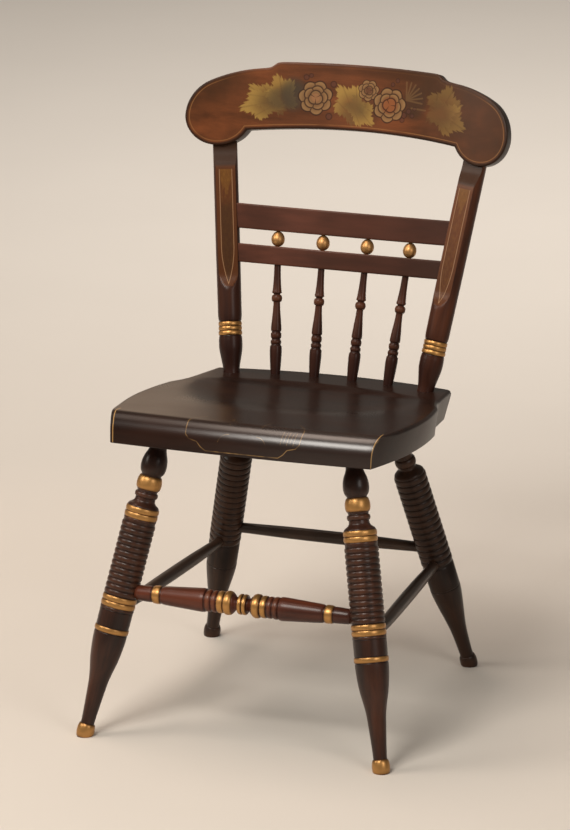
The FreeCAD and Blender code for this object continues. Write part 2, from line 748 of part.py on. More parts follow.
lower_tools = []
upper_tools = []
ball_foot = lower_rise + size["lower_rail_height"]
foot_half = stile_line(ZERO)
for number, share in enumerate(SPINDLE_SHARES, start=1):
    low_x = foot_half * share
    top_x = stile_line(lower_rise) * share
    ball_x = stile_line(ball_foot) * share
    over_x = stile_line(upper_rise) * share
    low = back_point(low_x, bowed(foot_half, size["rail_bow"], low_x), ZERO)
    top = back_point(top_x, bowed(rail_halves["lower"], size["rail_bow"], top_x), lower_rise)
    length = worked(f"spindle_{number}_length", span(low, top))
    spindle = turned(f"spindle_{number}_turning", spindle_stations(length))
    spindle.Placement = placed_along(low, top)
    kept(spindle, f"back_spindle_{number}")
    depth = size["spindle_tenon_depth"]
    seat_tools.append(socket(f"spindle_{number}_seat_socket", low, top, size["spindle_foot"] / 2, -depth,
                             depth + size["overrun"]))
    reach = size["spindle_dowel_depth"] + size["socket_floor_gap"]
    lower_tools.append(socket(f"spindle_{number}_rail_socket", low, top, size["spindle_dowel"] / 2,
                              length - reach, reach * 2))

    under = back_point(ball_x, bowed(rail_halves["lower"], size["rail_bow"], ball_x), ball_foot)
    above = back_point(over_x, bowed(rail_halves["upper"], size["rail_bow"], over_x), upper_rise)
    height = worked(f"ball_{number}_height", span(under, above))
    ball = turned(f"ball_{number}_turning", ball_stations(height))
    ball.Placement = placed_along(under, above)
    kept(ball, f"back_ball_{number}")
    reach = size["ball_dowel_depth"] + size["socket_floor_gap"]
    radius = size["ball_dowel"] / 2
    lower_tools.append(socket(f"ball_{number}_lower_socket", under, above, radius, -reach, reach * 2))
    upper_tools.append(socket(f"ball_{number}_upper_socket", under, above, radius, height - reach, reach * 2))

kept(cut("lower_back_rail", rails["lower"], lower_tools), "lower_back_rail")
kept(cut("upper_back_rail", rails["upper"], upper_tools), "upper_back_rail")


# Seat: boards glued edge to edge, shaped together, rolled at the front and dished for the sitter
def seat_edge(inner):
    """The seat's plan at its top or its underside, drawn in from the widest plan by an undercut."""
    depth = size["seat_depth"]
    shares = SEAT_SIDE_SHARES
    front = size["seat_front_width"] / 2 - inner * shares["front"]
    full = size["seat_full_width"] / 2 - inner
    waist = size["seat_waist_width"] / 2 - inner
    rear = size["seat_rear_width"] / 2 - inner
    turn_x = waist + (full - waist) * shares["turn"]
    rear_y = depth - size["seat_rear_bow"] - inner
    bulge = full - (front + turn_x) / 2
    right = [
        (front, -size["overrun"], None), (front, size["seat_front_bow"], None),
        (turn_x, depth * shares["end"], -bulge),
        (waist, depth * shares["waist"], (full - waist) * shares["waist_bow"]), (rear, rear_y, None),
    ]
    left = [
        (-rear, rear_y, -size["seat_rear_bow"]), (-waist, right[3][1], None),
        (-turn_x, right[2][1], right[3][2]), (-front, right[1][1], right[2][2]), (-front, right[0][1], None),
    ]
    return right + left


def build_seat_plank():
    """Lofts the plank from its underside to its wider top."""
    body = doc.addObject("PartDesign::Body", "seat_plank")
    top = outline(body, "seat_top_edge", "XY_Plane", seat_edge(ZERO))
    under = outline(body, "seat_under_edge", "XY_Plane", seat_edge(size["seat_undercut"]))
    bind(under, "AttachmentOffset.Base.z", -size["seat_thickness"])
    plank = body.newObject("PartDesign::AdditiveLoft", "seat_plank_loft")
    plank.Profile = under
    plank.Sections = [top]
    plank.Ruled = True
    body.Tip = plank
    body.Placement = seat_placement(seat_front)
    return body


def build_seat_roll():
    """The seat's side profile with its rolled front edge, swung about the centre of the front's bow."""
    body = doc.addObject("PartDesign::Body", "seat_roll")
    half = size["seat_front_width"] / 2
    bow = size["seat_front_bow"]
    centre = worked("seat_bow_centre", (half * half + bow * bow) / (bow * 2))
    front = -centre
    rear = size["seat_depth"] + size["overrun"] - centre
    low = -size["seat_thickness"]
    roll = size["seat_front_roll"]
    points = [
        (front, low, None), (rear, low, None), (rear, ZERO, None), (front + roll, ZERO, None),
        (front, -roll, roll * -ROUND_SHARE),
    ]
    swing = body.newObject("PartDesign::Revolution", "seat_roll_swing")
    swing.Profile = outline(body, "seat_roll_profile", "YZ_Plane", points)
    swing.ReferenceAxis = (swing.Profile[0], ["V_Axis"])
    swing.Midplane = True
    swing.Angle = ROLL_SWING
    body.Tip = swing
    body.Placement = seat_placement(seat_point(ZERO, centre, ZERO))
    return body


def build_seat_blank():
    """The plank with its front rolled over."""
    blank = doc.addObject("Part::Common", "seat_blank")
    blank.Base = build_seat_plank()
    blank.Tool = build_seat_roll()
    return blank


def build_saddle():
    """The shallow dish, cut by a flattened ball whose lowest point is the saddle's depth."""
    ball = doc.addObject("Part::Ellipsoid", "saddle")
    rise = size["saddle_round"] - size["saddle_depth"]
    spread = size["saddle_round"] * size["saddle_round"] - rise * rise
    reach = worked("saddle_reach", spread.root() / size["saddle_round"])
    bind(ball, "Radius1", size["saddle_round"])
    bind(ball, "Radius2", size["saddle_width"] / 2 / reach)
    bind(ball, "Radius3", size["saddle_length"] / 2 / reach)
    ball.Placement = seat_placement(seat_point(ZERO, size["seat_depth"] * SEAT_SIDE_SHARES["saddle"], rise))
    return ball


seat_blank = build_seat_blank()
seat_shape = cut("seat_shape", seat_blank, [build_saddle()] + seat_tools)
for number in range(1, BOARDS + 1):
    start = size["board_width"] * (number - 1) if number > 1 else -size["overrun"]
    end = size["board_width"] * number - size["glue_line"]
    if number == BOARDS:
        end = size["seat_depth"] + size["overrun"]
    wide = size["seat_full_width"] + size["overrun"] * 2
    thick = size["seat_thickness"] + size["overrun"] * 2
    board = block(f"seat_board_{number}_blank", wide, end - start, thick)
    corner = seat_point(-wide / 2, start, -size["seat_thickness"] - size["overrun"])
    board.Placement = seat_placement(corner)
    common = doc.addObject("Part::Common", f"seat_board_{number}_shaped")
    common.Base = seat_shape
    common.Tool = board
    kept(common, f"seat_board_{number}")


# Checks and files
def check_document():
    """Stops if any object failed, or if a piece is not one sound solid."""
    doc.recompute()
    for item in doc.Objects:
        if "Invalid" in item.State or "Error" in item.State:
            raise RuntimeError(f"{item.Name} failed: {item.State}")
    for piece in pieces:
        shape = piece.Shape
        if shape.isNull() or not shape.isValid() or len(shape.Solids) != 1:
            raise RuntimeError(f"{piece.Label} is not one sound solid: {len(shape.Solids)}")


def write_pieces():
    os.makedirs("parts", exist_ok=True)
    for piece in pieces:
        piece.Shape.exportStep(f"parts/{piece.Label}.step")
        box = piece.Shape.optimalBoundingBox(False)
        print(f"{piece.Label}: {box.XLength:.1f} x {box.YLength:.1f} x {box.ZLength:.1f} mm")
    whole = Part.makeCompound([piece.Shape for piece in pieces]).optimalBoundingBox(False)
    print(f"whole: {whole}")


check_document()
write_pieces()
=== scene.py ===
"""Painted side chair with a plank seat, ribbed legs and a stencilled crest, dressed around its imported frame.

Sizes are in millimetres. X runs to the right of a viewer who faces the chair, Y to its back and Z up.
"""
import logging
import math
from dataclasses import dataclass, field, replace
from enum import Enum
from typing import Callable, Iterable, Sequence, Union

import bmesh
import bpy
from mathutils import Matrix, Vector

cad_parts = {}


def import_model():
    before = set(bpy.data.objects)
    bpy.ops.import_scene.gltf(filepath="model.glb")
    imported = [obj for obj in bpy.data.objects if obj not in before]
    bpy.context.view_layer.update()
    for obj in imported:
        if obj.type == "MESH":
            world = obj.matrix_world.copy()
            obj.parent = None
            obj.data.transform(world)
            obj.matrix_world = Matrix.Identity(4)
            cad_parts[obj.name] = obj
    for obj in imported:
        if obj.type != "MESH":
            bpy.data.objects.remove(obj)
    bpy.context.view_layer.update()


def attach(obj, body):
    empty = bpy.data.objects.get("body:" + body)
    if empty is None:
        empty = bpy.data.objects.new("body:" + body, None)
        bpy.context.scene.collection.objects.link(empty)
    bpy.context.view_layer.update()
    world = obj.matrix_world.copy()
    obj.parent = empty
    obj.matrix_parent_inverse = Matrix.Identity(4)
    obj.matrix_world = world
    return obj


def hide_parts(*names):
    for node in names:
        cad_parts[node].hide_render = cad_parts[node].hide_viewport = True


LOG = logging.getLogger("side_chair")
MM = 0.001
BODY = "root"
IMAGE_WIDTH = 570

# How near two points count as one, in millimetres, and how sharply an offset corner may reach out
TOUCHING = 0.01
SHARPEST = 0.5

# What a point carries where its row names no such mark
FAR = 999.0
HALF_WORN = 0.5
UNMARKED = {"gilt": 0.0, "worn": HALF_WORN, "girth": FAR, "inset": FAR, "front": 0.0}

# The colour sockets of a Mix node
MIX_SHARE, MIX_FIRST, MIX_SECOND, MIX_RESULT = 0, 6, 7, 2

Point = tuple[float, float]
Triple = tuple[float, float, float]

# What a node's socket takes: an expression, another node's socket or a plain value
Feed = Union["Operand", bpy.types.NodeSocket, float, Triple]


class Hand(Enum):
    """The chair's sides, as a viewer in front of it sees them."""

    LEFT = -1
    RIGHT = 1

    @property
    def word(self) -> str:
        """The side's word in a node's name."""
        return self.name.lower()


def covered(value: float, start: float, run: float) -> float:
    """How much of a run a value has covered, from 0 to 1."""
    return min(max((value - start) / run, 0.0), 1.0)


def eased(share: float) -> float:
    """The same share with soft ends."""
    return share * share * (3 - 2 * share)


# Shader expressions
class Shade:
    """The nodes of one material."""

    def __init__(self, name: str) -> None:
        """Makes an empty material that ends in a Principled BSDF.

        Args:
            name: The material's name.
        """
        self.material = bpy.data.materials.new(name)
        self.material.use_nodes = True
        self.tree = self.material.node_tree
        self.shader = self.tree.nodes["Principled BSDF"]

    def add(self, kind: str, settings: dict | None = None, inputs: dict | None = None) -> bpy.types.Node:
        """Adds any node.

        Args:
            kind: The node's type.
            settings: Properties of the node, which are set first.
            inputs: Values or links by socket name or number.

        Returns:
            The new node.
        """
        node = self.tree.nodes.new(kind)
        for name, value in (settings or {}).items():
            setattr(node, name, value)
        for name, value in (inputs or {}).items():
            self.feed(node.inputs[name], value)
        return node

    def feed(self, socket: bpy.types.NodeSocket, value: Feed) -> None:
        """Links a socket to an expression, or sets it to a number or colour.

        Args:
            socket: The socket.
            value: A Number, a Span, a node's output, a number or a tuple.
        """
        if isinstance(value, Operand):
            value = value.socket
        if isinstance(value, bpy.types.NodeSocket):
            self.tree.links.new(value, socket)
        elif isinstance(value, tuple) and len(value) == 3 and socket.type == "RGBA":
            socket.default_value = (*value, 1.0)
        else:
            socket.default_value = value

    def surface(self, name: str, value: Feed) -> None:
        """Feeds one of the shader's own sockets.

        Args:
            name: The socket's name.
            value: What it takes.
        """
        self.feed(self.shader.inputs[name], value)

    def place(self) -> "Span":
        """The point in the piece's own directions, in metres."""
        return Span(self, self.add("ShaderNodeTexCoord").outputs["Object"])

    def mark(self, name: str) -> "Number":
        """A number that the mesh carries at its points.

        Args:
            name: The name of the mesh's attribute.

        Returns:
            The number.
        """
        return Number(self, self.add("ShaderNodeAttribute", {"attribute_name": name}).outputs["Fac"])

    def noise(self, place: "Span", scale: float, detail: float, rough: float = 0.5) -> "Number":
        """Soft random patches from 0 to 1.

        Args:
            place: Where the noise is read.
            scale: Patches in a metre.
            detail: Octaves.
            rough: How strong the finer octaves are.

        Returns:
            The noise.
        """
        values = {"Vector": place, "Scale": scale, "Detail": detail, "Roughness": rough}
        return Number(self, self.add("ShaderNodeTexNoise", None, values).outputs["Fac"])

    def point(self, x: Feed, y: Feed) -> "Span":
        """A flat point from two numbers."""
        return Span(self, self.add("ShaderNodeCombineXYZ", None, {0: x, 1: y}).outputs[0])

    def stroke(self, place: "Span", *lines: Sequence[Point]) -> "Number":
        """The distance to the nearest of some drawn lines.

        Args:
            place: The point, in the drawing.
            lines: Each line's points.

        Returns:
            The distance.
        """
        nearest: Number | None = None
        for line in lines:
            for (x0, y0), (x1, y1) in zip(line, line[1:]):
                run = math.hypot(x1 - x0, y1 - y0)
                course = ((x1 - x0) / run, (y1 - y0) / run, 0.0)
                away = place - (x0, y0, 0.0)
                share = away.dot(course).most(0.0).least(run)
                gap = (away - self.direction(course).scaled(share)).length()
                nearest = gap if nearest is None else nearest.least(gap)
        return nearest

    def direction(self, course: Triple) -> "Span":
        """A fixed direction."""
        return Span(self, self.add("ShaderNodeCombineXYZ", None, dict(enumerate(course))).outputs[0])

    def mix(self, share: Feed, first: Feed, second: Feed) -> "Span":
        """Mixes two colours.

        Args:
            share: How much of the second colour shows.
            first: The colour at 0.
            second: The colour at 1.

        Returns:
            The mixed colour.
        """
        values = {MIX_SHARE: share, MIX_FIRST: first, MIX_SECOND: second}
        return Span(self, self.add("ShaderNodeMix", {"data_type": "RGBA"}, values).outputs[MIX_RESULT])

    def bump(self, height: "Number", strength: float, depth: float) -> bpy.types.NodeSocket:
        """A normal from a height.

        Args:
            height: The height, from 0 to 1.
            strength: How much it shows.
            depth: The height of 1, in metres.

        Returns:
            The normal's socket.
        """
        values = {"Strength": strength, "Distance": depth, "Height": height}
        return self.add("ShaderNodeBump", None, values).outputs["Normal"]


class Operand:
    """A socket that takes part in arithmetic."""

    def __init__(self, shade: Shade, socket: bpy.types.NodeSocket) -> None:
        """Wraps a socket.

        Args:
            shade: The material that the socket belongs to.
            socket: The socket.
        """
        self.shade = shade
        self.socket = socket


class Number(Operand):
    """A number that varies over the surface."""

    def math(self, operation: str, *values: Feed) -> "Number":
        """Adds a Math node.

        Args:
            operation: Its operation.
            values: Its inputs in order.

        Returns:
            Its result.
        """
        node = self.shade.add("ShaderNodeMath", {"operation": operation}, dict(enumerate(values)))
        return Number(self.shade, node.outputs[0])

    def __add__(self, other: Feed) -> "Number":
        """The sum."""
        return self.math("ADD", self, other)

    __radd__ = __add__

    def __sub__(self, other: Feed) -> "Number":
        """The difference."""
        return self.math("SUBTRACT", self, other)

    def __rsub__(self, other: Feed) -> "Number":
        """The difference, from a plain number."""
        return self.math("SUBTRACT", other, self)

    def __mul__(self, other: Feed) -> "Number":
        """The product."""
        return self.math("MULTIPLY", self, other)

    __rmul__ = __mul__

    def __truediv__(self, other: Feed) -> "Number":
        """The quotient."""
        return self.math("DIVIDE", self, other)

    def __rtruediv__(self, other: Feed) -> "Number":
        """The quotient, from a plain number."""
        return self.math("DIVIDE", other, self)

    def __abs__(self) -> "Number":
        """The size without its sign."""
        return self.math("ABSOLUTE", self)

    def least(self, other: Feed) -> "Number":
        """The smaller of two."""
        return self.math("MINIMUM", self, other)

    def most(self, other: Feed) -> "Number":
        """The larger of two."""
        return self.math("MAXIMUM", self, other)

    def angle(self, other: "Number") -> "Number":
        """The angle of a point from its two parts, this one upright and the other level."""
        return self.math("ARCTAN2", self, other)

    def root(self) -> "Number":
        """The square root."""
        return self.math("SQRT", self)

    def fraction(self) -> "Number":
        """What is left over a whole number."""
        return self.math("FRACT", self)

    def sine(self) -> "Number":
        """The sine."""
        return self.math("SINE", self)

    def ramp(self, low: float, high: float) -> "Number":
        """A smooth rise from 0 at one value to 1 at another, or a fall where the first is the higher.

        Args:
            low: Where it is 0.
            high: Where it is 1.

        Returns:
            The rise.
        """
        values = {"Value": self, "From Min": low, "From Max": high}
        node = self.shade.add("ShaderNodeMapRange", {"interpolation_type": "SMOOTHSTEP"}, values)
        return Number(self.shade, node.outputs["Result"])


class Span(Operand):
    """A point, direction or colour that varies over the surface."""

    def vector(self, operation: str, *values: Feed) -> bpy.types.Node:
        """Adds a Vector Math node.

        Args:
            operation: Its operation.
            values: Its inputs in order.

        Returns:
            The node.
        """
        return self.shade.add("ShaderNodeVectorMath", {"operation": operation}, dict(enumerate(values)))

    def __sub__(self, other: Feed) -> "Span":
        """The difference."""
        return Span(self.shade, self.vector("SUBTRACT", self, other).outputs[0])

    def __rsub__(self, other: Feed) -> "Span":
        """The difference, from a plain point."""
        return Span(self.shade, self.vector("SUBTRACT", other, self).outputs[0])

    def __mul__(self, other: Feed) -> "Span":
        """The product, part by part."""
        return Span(self.shade, self.vector("MULTIPLY", self, other).outputs[0])

    __rmul__ = __mul__

    def dot(self, other: Feed) -> Number:
        """The product of two directions as a number."""
        return Number(self.shade, self.vector("DOT_PRODUCT", self, other).outputs["Value"])

    def length(self) -> Number:
        """The length."""
        return Number(self.shade, self.vector("LENGTH", self).outputs["Value"])

    def scaled(self, factor: Feed) -> "Span":
        """The same direction, longer or shorter."""
        node = self.shade.add("ShaderNodeVectorMath", {"operation": "SCALE"}, {0: self, "Scale": factor})
        return Span(self.shade, node.outputs[0])

    def parts(self) -> tuple[Number, Number, Number]:
        """The three numbers apart."""
        node = self.shade.add("ShaderNodeSeparateXYZ", None, {0: self})
        return tuple(Number(self.shade, output) for output in node.outputs)


# Meshes
@dataclass
class Shell:
    """Points and faces of one piece, in millimetres in the piece's own directions."""

    points: list[Triple] = field(default_factory=list)
    faces: list[tuple[int, ...]] = field(default_factory=list)
    marks: dict[str, dict[int, float]] = field(default_factory=dict)

    def row(self, points: Iterable[Triple], **marks: float | Sequence[float]) -> list[int]:
        """Adds a row of points.

        Args:
            points: The points.
            marks: Numbers that they carry, one for all or one for each.

        Returns:
            The points' numbers.
        """
        first = len(self.points)
        self.points.extend(points)
        numbers = range(first, len(self.points))
        for name, value in marks.items():
            values = [value] * len(numbers) if isinstance(value, (int, float)) else value
            self.marks.setdefault(name, {}).update(zip(numbers, values))
        return list(numbers)

    def join(self, low: Sequence[int], high: Sequence[int]) -> None:
        """Fills between two closed rows of as many points.

        Args:
            low: The row that lies first.
            high: The row that follows it.
        """
        for index in range(len(low)):
            after = (index + 1) % len(low)
            self.faces.append((low[index], low[after], high[after], high[index]))

    def skin(self, rows: Sequence[Sequence[int]]) -> None:
        """Fills between closed rows, each with the next."""
        for low, high in zip(rows, rows[1:]):
            self.join(low, high)

    def cap(self, ring: Sequence[int], centre: Triple, flip: bool = False, **marks: float) -> None:
        """Closes a ring with a fan.

        Args:
            ring: The ring's points.
            centre: The fan's middle.
            flip: Whether the fan looks down.
            marks: Numbers that the middle carries.
        """
        middle = self.row([centre], **marks)[0]
        for index, point in enumerate(ring):
            after = ring[(index + 1) % len(ring)]
            self.faces.append((middle, after, point) if flip else (middle, point, after))

    def piece(self, name: str, matrix: Matrix, crease: float = 38.0) -> bpy.types.Object:
        """Makes the object.

        Args:
            name: The piece's name.
            matrix: Where the piece stands, in metres.
            crease: The angle in degrees above which an edge stays sharp.

        Returns:
            The object.
        """
        mesh = bpy.data.meshes.new(name)
        mesh.from_pydata([Vector(point) * MM for point in self.points], [], self.faces)
        outward(mesh)
        for key, values in self.marks.items():
            column = [values.get(index, UNMARKED[key]) for index in range(len(self.points))]
            mesh.attributes.new(key, "FLOAT", "POINT").data.foreach_set("value", column)
        mesh.shade_smooth()
        mesh.set_sharp_from_angle(angle=math.radians(crease))
        mesh.update()
        item = bpy.data.objects.new(name, mesh)
        bpy.context.scene.collection.objects.link(item)
        item.matrix_world = matrix
        return item


def outward(mesh: bpy.types.Mesh) -> None:
    """Turns all the faces of a mesh to look outward.

    Args:
        mesh: The mesh, which is changed.
    """
    work = bmesh.new()
    work.from_mesh(mesh)
    bmesh.ops.recalc_face_normals(work, faces=work.faces)
    work.to_mesh(mesh)
    work.free()


@dataclass(frozen=True)
class Station:
    """One ring of a turning."""

    height: float
    radius: float
    gilt: float = 0.0
    worn: float = HALF_WORN


class Profile:
    """The outline of a turning, drawn from one end to the other."""

    FINE_STEP = 0.25

    def __init__(self, height: float, radius: float) -> None:
        """Starts the outline.

        Args:
            height: Where along the axis it starts.
            radius: How far from the axis.
        """
        self.stations = [Station(height, radius)]

    def stretch(
        self, heights: Sequence[float], radii: Sequence[float], gilt: float, worn: Sequence[float]
    ) -> None:
        """Adds stations, with a fine first one where the paint changes.

        Args:
            heights: Places along the axis.
            radii: Distances from it.
            gilt: 1 where the stretch is gilded.
            worn: From 0 in a groove to 1 on a rubbed edge.
        """
        last = self.stations[-1]
        if gilt != last.gilt:
            self.stations.append(Station(last.height + self.FINE_STEP, last.radius, gilt, last.worn))
        self.stations += [Station(h, r, gilt, w) for h, r, w in zip(heights, radii, worn)]

    def line(self, height: float, radius: float) -> "Profile":
        """A straight stretch to a point."""
        self.stretch([height], [radius], 0.0, [HALF_WORN])
        return self

    def bead(
        self, height: float, radius: float, swell: float, gilt: float = 0.0, steps: int = 10
    ) -> "Profile":
        """A rounded stretch: a bead that swells out, or a hollow where the swell is negative.

        Args:
            height: Where it ends.
            radius: The radius where it ends.
            swell: How far its middle stands out.
            gilt: 1 where it is gilded.
            steps: Stations in it.

        Returns:
            The outline, to go on from.
        """
        last = self.stations[-1]
        heights, radii, worn = [], [], []
        for step in range(1, steps + 1):
            turn = math.pi * step / steps
            share = (1 - math.cos(turn)) / 2
            rise = math.sin(turn)
            heights.append(last.height + (height - last.height) * share)
            radii.append(last.radius + (radius - last.radius) * share + swell * rise)
            worn.append(rise if swell > 0 else HALF_WORN - rise / 2)
        self.stretch(heights, radii, gilt, worn)
        return self

    def flow(self, points: Sequence[Point], steps: int) -> "Profile":
        """A smooth curve through points.

        Args:
            points: (height, radius) of each.
            steps: Stations between two of them.

        Returns:
            The outline, to go on from.
        """
        knots = [(self.stations[-1].height, self.stations[-1].radius), *points]
        slopes = [0.0] * len(knots)
        for index in range(1, len(knots) - 1):
            before, after = knots[index - 1], knots[index + 1]
            slopes[index] = (after[1] - before[1]) / (after[0] - before[0])
        heights, radii = [], []
        for index, ((h0, r0), (h1, r1)) in enumerate(zip(knots, knots[1:])):
            for step in range(1, steps + 1):
                share = step / steps
                run = h1 - h0
                lift = slopes[index] * run * share * (1 - share) ** 2
                drop = slopes[index + 1] * run * share * share * (1 - share)
                heights.append(h0 + run * share)
                radii.append(r0 + (r1 - r0) * eased(share) + lift - drop)
        self.stretch(heights, radii, 0.0, [HALF_WORN] * len(heights))
        return self

    def lathe(self, name: str, matrix: Matrix, segments: int, level: bool = False) -> bpy.types.Object:
        """Turns the outline about the Z axis.

        Args:
            name: The piece's name.
            matrix: Where the axis stands, in metres.
            segments: Flats around.
            level: Whether what reaches under the floor is sawn off level with it.

        Returns:
            The piece.
        """
        shell = Shell()
        turns = [2 * math.pi * index / segments for index in range(segments)]
        rows = []
        for one in self.stations:
            ring = [(one.radius * math.cos(turn), one.radius * math.sin(turn), one.height) for turn in turns]
            rows.append(shell.row(ring, gilt=one.gilt, worn=one.worn))
        shell.skin(rows)
        first, last = self.stations[0], self.stations[-1]
        shell.cap(rows[0], (0, 0, first.height), True, gilt=first.gilt, worn=first.worn)
        shell.cap(rows[-1], (0, 0, last.height), False, gilt=last.gilt, worn=last.worn)
        if level:
            shell.points = [sawn_level(point, matrix) for point in shell.points]
        return shell.piece(name, matrix)


def sawn_level(point: Triple, matrix: Matrix) -> Triple:
    """Lifts a point that would reach under the floor.

    Args:
        point: The point in the piece's own directions, in millimetres.
        matrix: Where the piece stands, in metres.

    Returns:
        The point, or the one on the floor above it.
    """
    place = matrix @ (Vector(point) * MM)
    if place.z >= 0:
        return point
    place.z = 0
    return tuple(matrix.inverted() @ place / MM)


# Directions and outlines
def tipped_frame(origin: Triple, sine: float) -> Matrix:
    """Directions tipped about X.

    Args:
        origin: Their origin, in millimetres.
        sine: How far the Z direction leans back.

    Returns:
        The frame, in metres.
    """
    cosine = math.sqrt(1 - sine * sine)
    x, y, z = origin
    return Matrix(((1, 0, 0, x * MM), (0, cosine, sine, y * MM), (0, -sine, cosine, z * MM), (0, 0, 0, 1)))


def axis_frame(start: Vector, end: Vector) -> Matrix:
    """Directions whose Z runs along a line.

    Args:
        start: Where the line starts, in millimetres.
        end: Where it ends.

    Returns:
        The frame, in metres.
    """
    turn = (end - start).to_track_quat("Z", "Y").to_matrix().to_4x4()
    return Matrix.Translation(start * MM) @ turn


def at(frame: Matrix, x: float, y: float, z: float) -> Vector:
    """A point of a frame in the chair's own directions.

    Args:
        frame: The frame, in metres.
        x: Across, in millimetres.
        y: Along its Y.
        z: Along its Z.

    Returns:
        The point, in millimetres.
    """
    return frame @ (Vector((x, y, z)) * MM) / MM


def bowed_between(start: Point, end: Point, rise: float, back: float) -> float:
    """The place across of a bowed side between two corners.

    Args:
        start: The front corner's place across and behind the front.
        end: The rear corner's.
        rise: How far the middle stands out, or in where it is negative.
        back: The distance behind the front.

    Returns:
        The place across.
    """
    (x0, y0), (x1, y1) = start, end
    chord = math.hypot(x1 - x0, y1 - y0)
    radius = chord * chord / (8 * abs(rise)) + abs(rise) / 2
    sign = math.copysign(1, rise)
    reach = sign * (radius - abs(rise))
    middle_x = (x0 + x1) / 2 - reach * (y1 - y0) / chord
    middle_y = (y0 + y1) / 2 + reach * (x1 - x0) / chord
    place = min(max(back, y0), y1) - middle_y
    return middle_x + sign * math.sqrt(radius * radius - place * place)


def arc(start: Point, end: Point, rise: float, steps: int) -> list[Point]:
    """Points of an arc after its start.

    Args:
        start: Where it starts.
        end: Where it ends.
        rise: How far its middle stands to the left of the chord.
        steps: How many points.

    Returns:
        The points, the end included.
    """
    a, b = Vector(start), Vector(end)
    chord = b - a
    if abs(rise) < 1e-6:
        return [tuple(a + chord * step / steps) for step in range(1, steps + 1)]
    side = Vector((-chord.y, chord.x)).normalized()
    radius = chord.length_squared / (8 * abs(rise)) + abs(rise) / 2
    sign = math.copysign(1, rise)
    centre = (a + b) / 2 + side * (rise - sign * radius)
    half = math.asin(min(1.0, chord.length / 2 / radius))
    if abs(rise) > radius:
        half = math.pi - half
    spoke = a - centre
    points = []
    for step in range(1, steps + 1):
        turn = -sign * 2 * half * step / steps
        cosine, sine = math.cos(turn), math.sin(turn)
        swung = Vector((spoke.x * cosine - spoke.y * sine, spoke.x * sine + spoke.y * cosine))
        points.append(tuple(centre + swung))
    return points


def offset(loop: Sequence[Point], inward: float) -> list[Point]:
    """Moves a closed outline inward.

    Args:
        loop: The outline, with its inside on the left.
        inward: How far.

    Returns:
        The new outline, point for point.
    """
    if inward <= 0:
        return list(loop)
    moved = []
    for index, here in enumerate(loop):
        before = Vector(here) - Vector(loop[index - 1])
        after = Vector(loop[(index + 1) % len(loop)]) - Vector(here)
        before.normalize()
        after.normalize()
        first = Vector((-before.y, before.x))
        second = Vector((-after.y, after.x))
        middle = (first + second).normalized()
        reach = inward / max(middle.dot(first), SHARPEST)
        moved.append(tuple(Vector(here) + middle * reach))
    return moved


# Finishes
@dataclass(frozen=True)
class Paint:
    """Old painted and varnished wood, with gilding where the mesh is marked for it.

    Colours are linear. The ground is streaked with the shade, rubbed edges show more of the wood, and places
    marked as little worn go dark: dirt in the grooves, and painted shade on the front legs' necks under the
    seat.
    """

    name: str
    ground: Triple
    shade: Triple
    rubbed: Triple = (0.20, 0.075, 0.03)
    dirt_and_shade: Triple = (0.008, 0.005, 0.004)
    gold: Triple = (0.47, 0.245, 0.080)
    gold_dark: Triple = (0.085, 0.034, 0.012)
    streak: Triple = (60.0, 60.0, 6.0)
    rough: float = 0.34
    coat: float = 0.10
    coat_rough: float = 0.18
    shine: float = 0.24
    wear: float = 0.35
    groove: float = 0.6
    texture: float = 0.12
    texture_depth: float = 0.0004

    def varnish(self, shade: Shade) -> float | Number:
        """How much clear varnish lies over the paint."""
        return self.coat

    def material(self, dress: Callable[[Shade, Span], Span] | None = None) -> bpy.types.Material:
        """Makes the material.

        Args:
            dress: Adds ornament: it takes the material and the ground's colour, and returns a colour.

        Returns:
            The material.
        """
        shade = Shade(self.name)
        place = shade.place()
        grain = shade.noise(place * self.streak, 1.0, 5.0, 0.6)
        patch = shade.noise(place, 9.0, 2.0)
        fine = shade.noise(place, 420.0, 3.0, 0.6)
        worn = shade.mark("worn")
        colour = shade.mix((grain * 0.7 + patch * 0.5).ramp(0.42, 0.80), self.shade, self.ground)
        rub = (worn + patch * 0.5 + fine * 0.3).ramp(1.05, 1.6) * self.wear
        colour = shade.mix(rub, colour, self.rubbed)
        # Darker where the mesh is marked as little worn: dirt in the grooves, and painted shade on the legs'
        # necks under the seat
        colour = shade.mix((0.35 - worn).ramp(0.0, 0.35) * self.groove, colour, self.dirt_and_shade)
        if dress:
            colour = dress(shade, colour)
        gilt = (shade.mark("gilt") + (fine - 0.5) * 0.35).ramp(0.42, 0.58)
        tone = (worn * 0.75 + patch * 0.35 + grain * 0.25).ramp(0.30, 1.05)
        colour = shade.mix(gilt, colour, shade.mix(tone, self.gold_dark, self.gold))
        shade.surface("Base Color", colour)
        shade.surface("Metallic", gilt * 0.8)
        shade.surface("Roughness", self.rough + gilt * 0.04 + (fine - 0.5) * 0.10 + (patch - 0.5) * 0.16)
        shade.surface("Specular IOR Level", self.shine)
        shade.surface("Coat Weight", self.varnish(shade))
        shade.surface("Coat Roughness", self.coat_rough)
        shade.surface("Normal", shade.bump(fine * 0.4 + grain * 0.6, self.texture, self.texture_depth))
        return shade.material


@dataclass(frozen=True)
class RollPaint(Paint):
    """The seat's paint, with varnish left on the rolled front, more of it towards the right."""

    roll_end: float = 62.0
    roll_fade: float = 16.0
    bare_left: float = -130.0
    coated_right: float = 140.0

    def varnish(self, shade: Shade) -> Number:
        """How much clear varnish lies over the paint.

        Args:
            shade: The material.

        Returns:
            The paint's own coat, and the roll's on top of it.
        """
        across, _, _ = shade.place().parts()
        roll = (self.roll_end - shade.mark("girth")).ramp(0.0, self.roll_fade)
        return roll * (across / MM).ramp(self.bare_left, self.coated_right) + self.coat


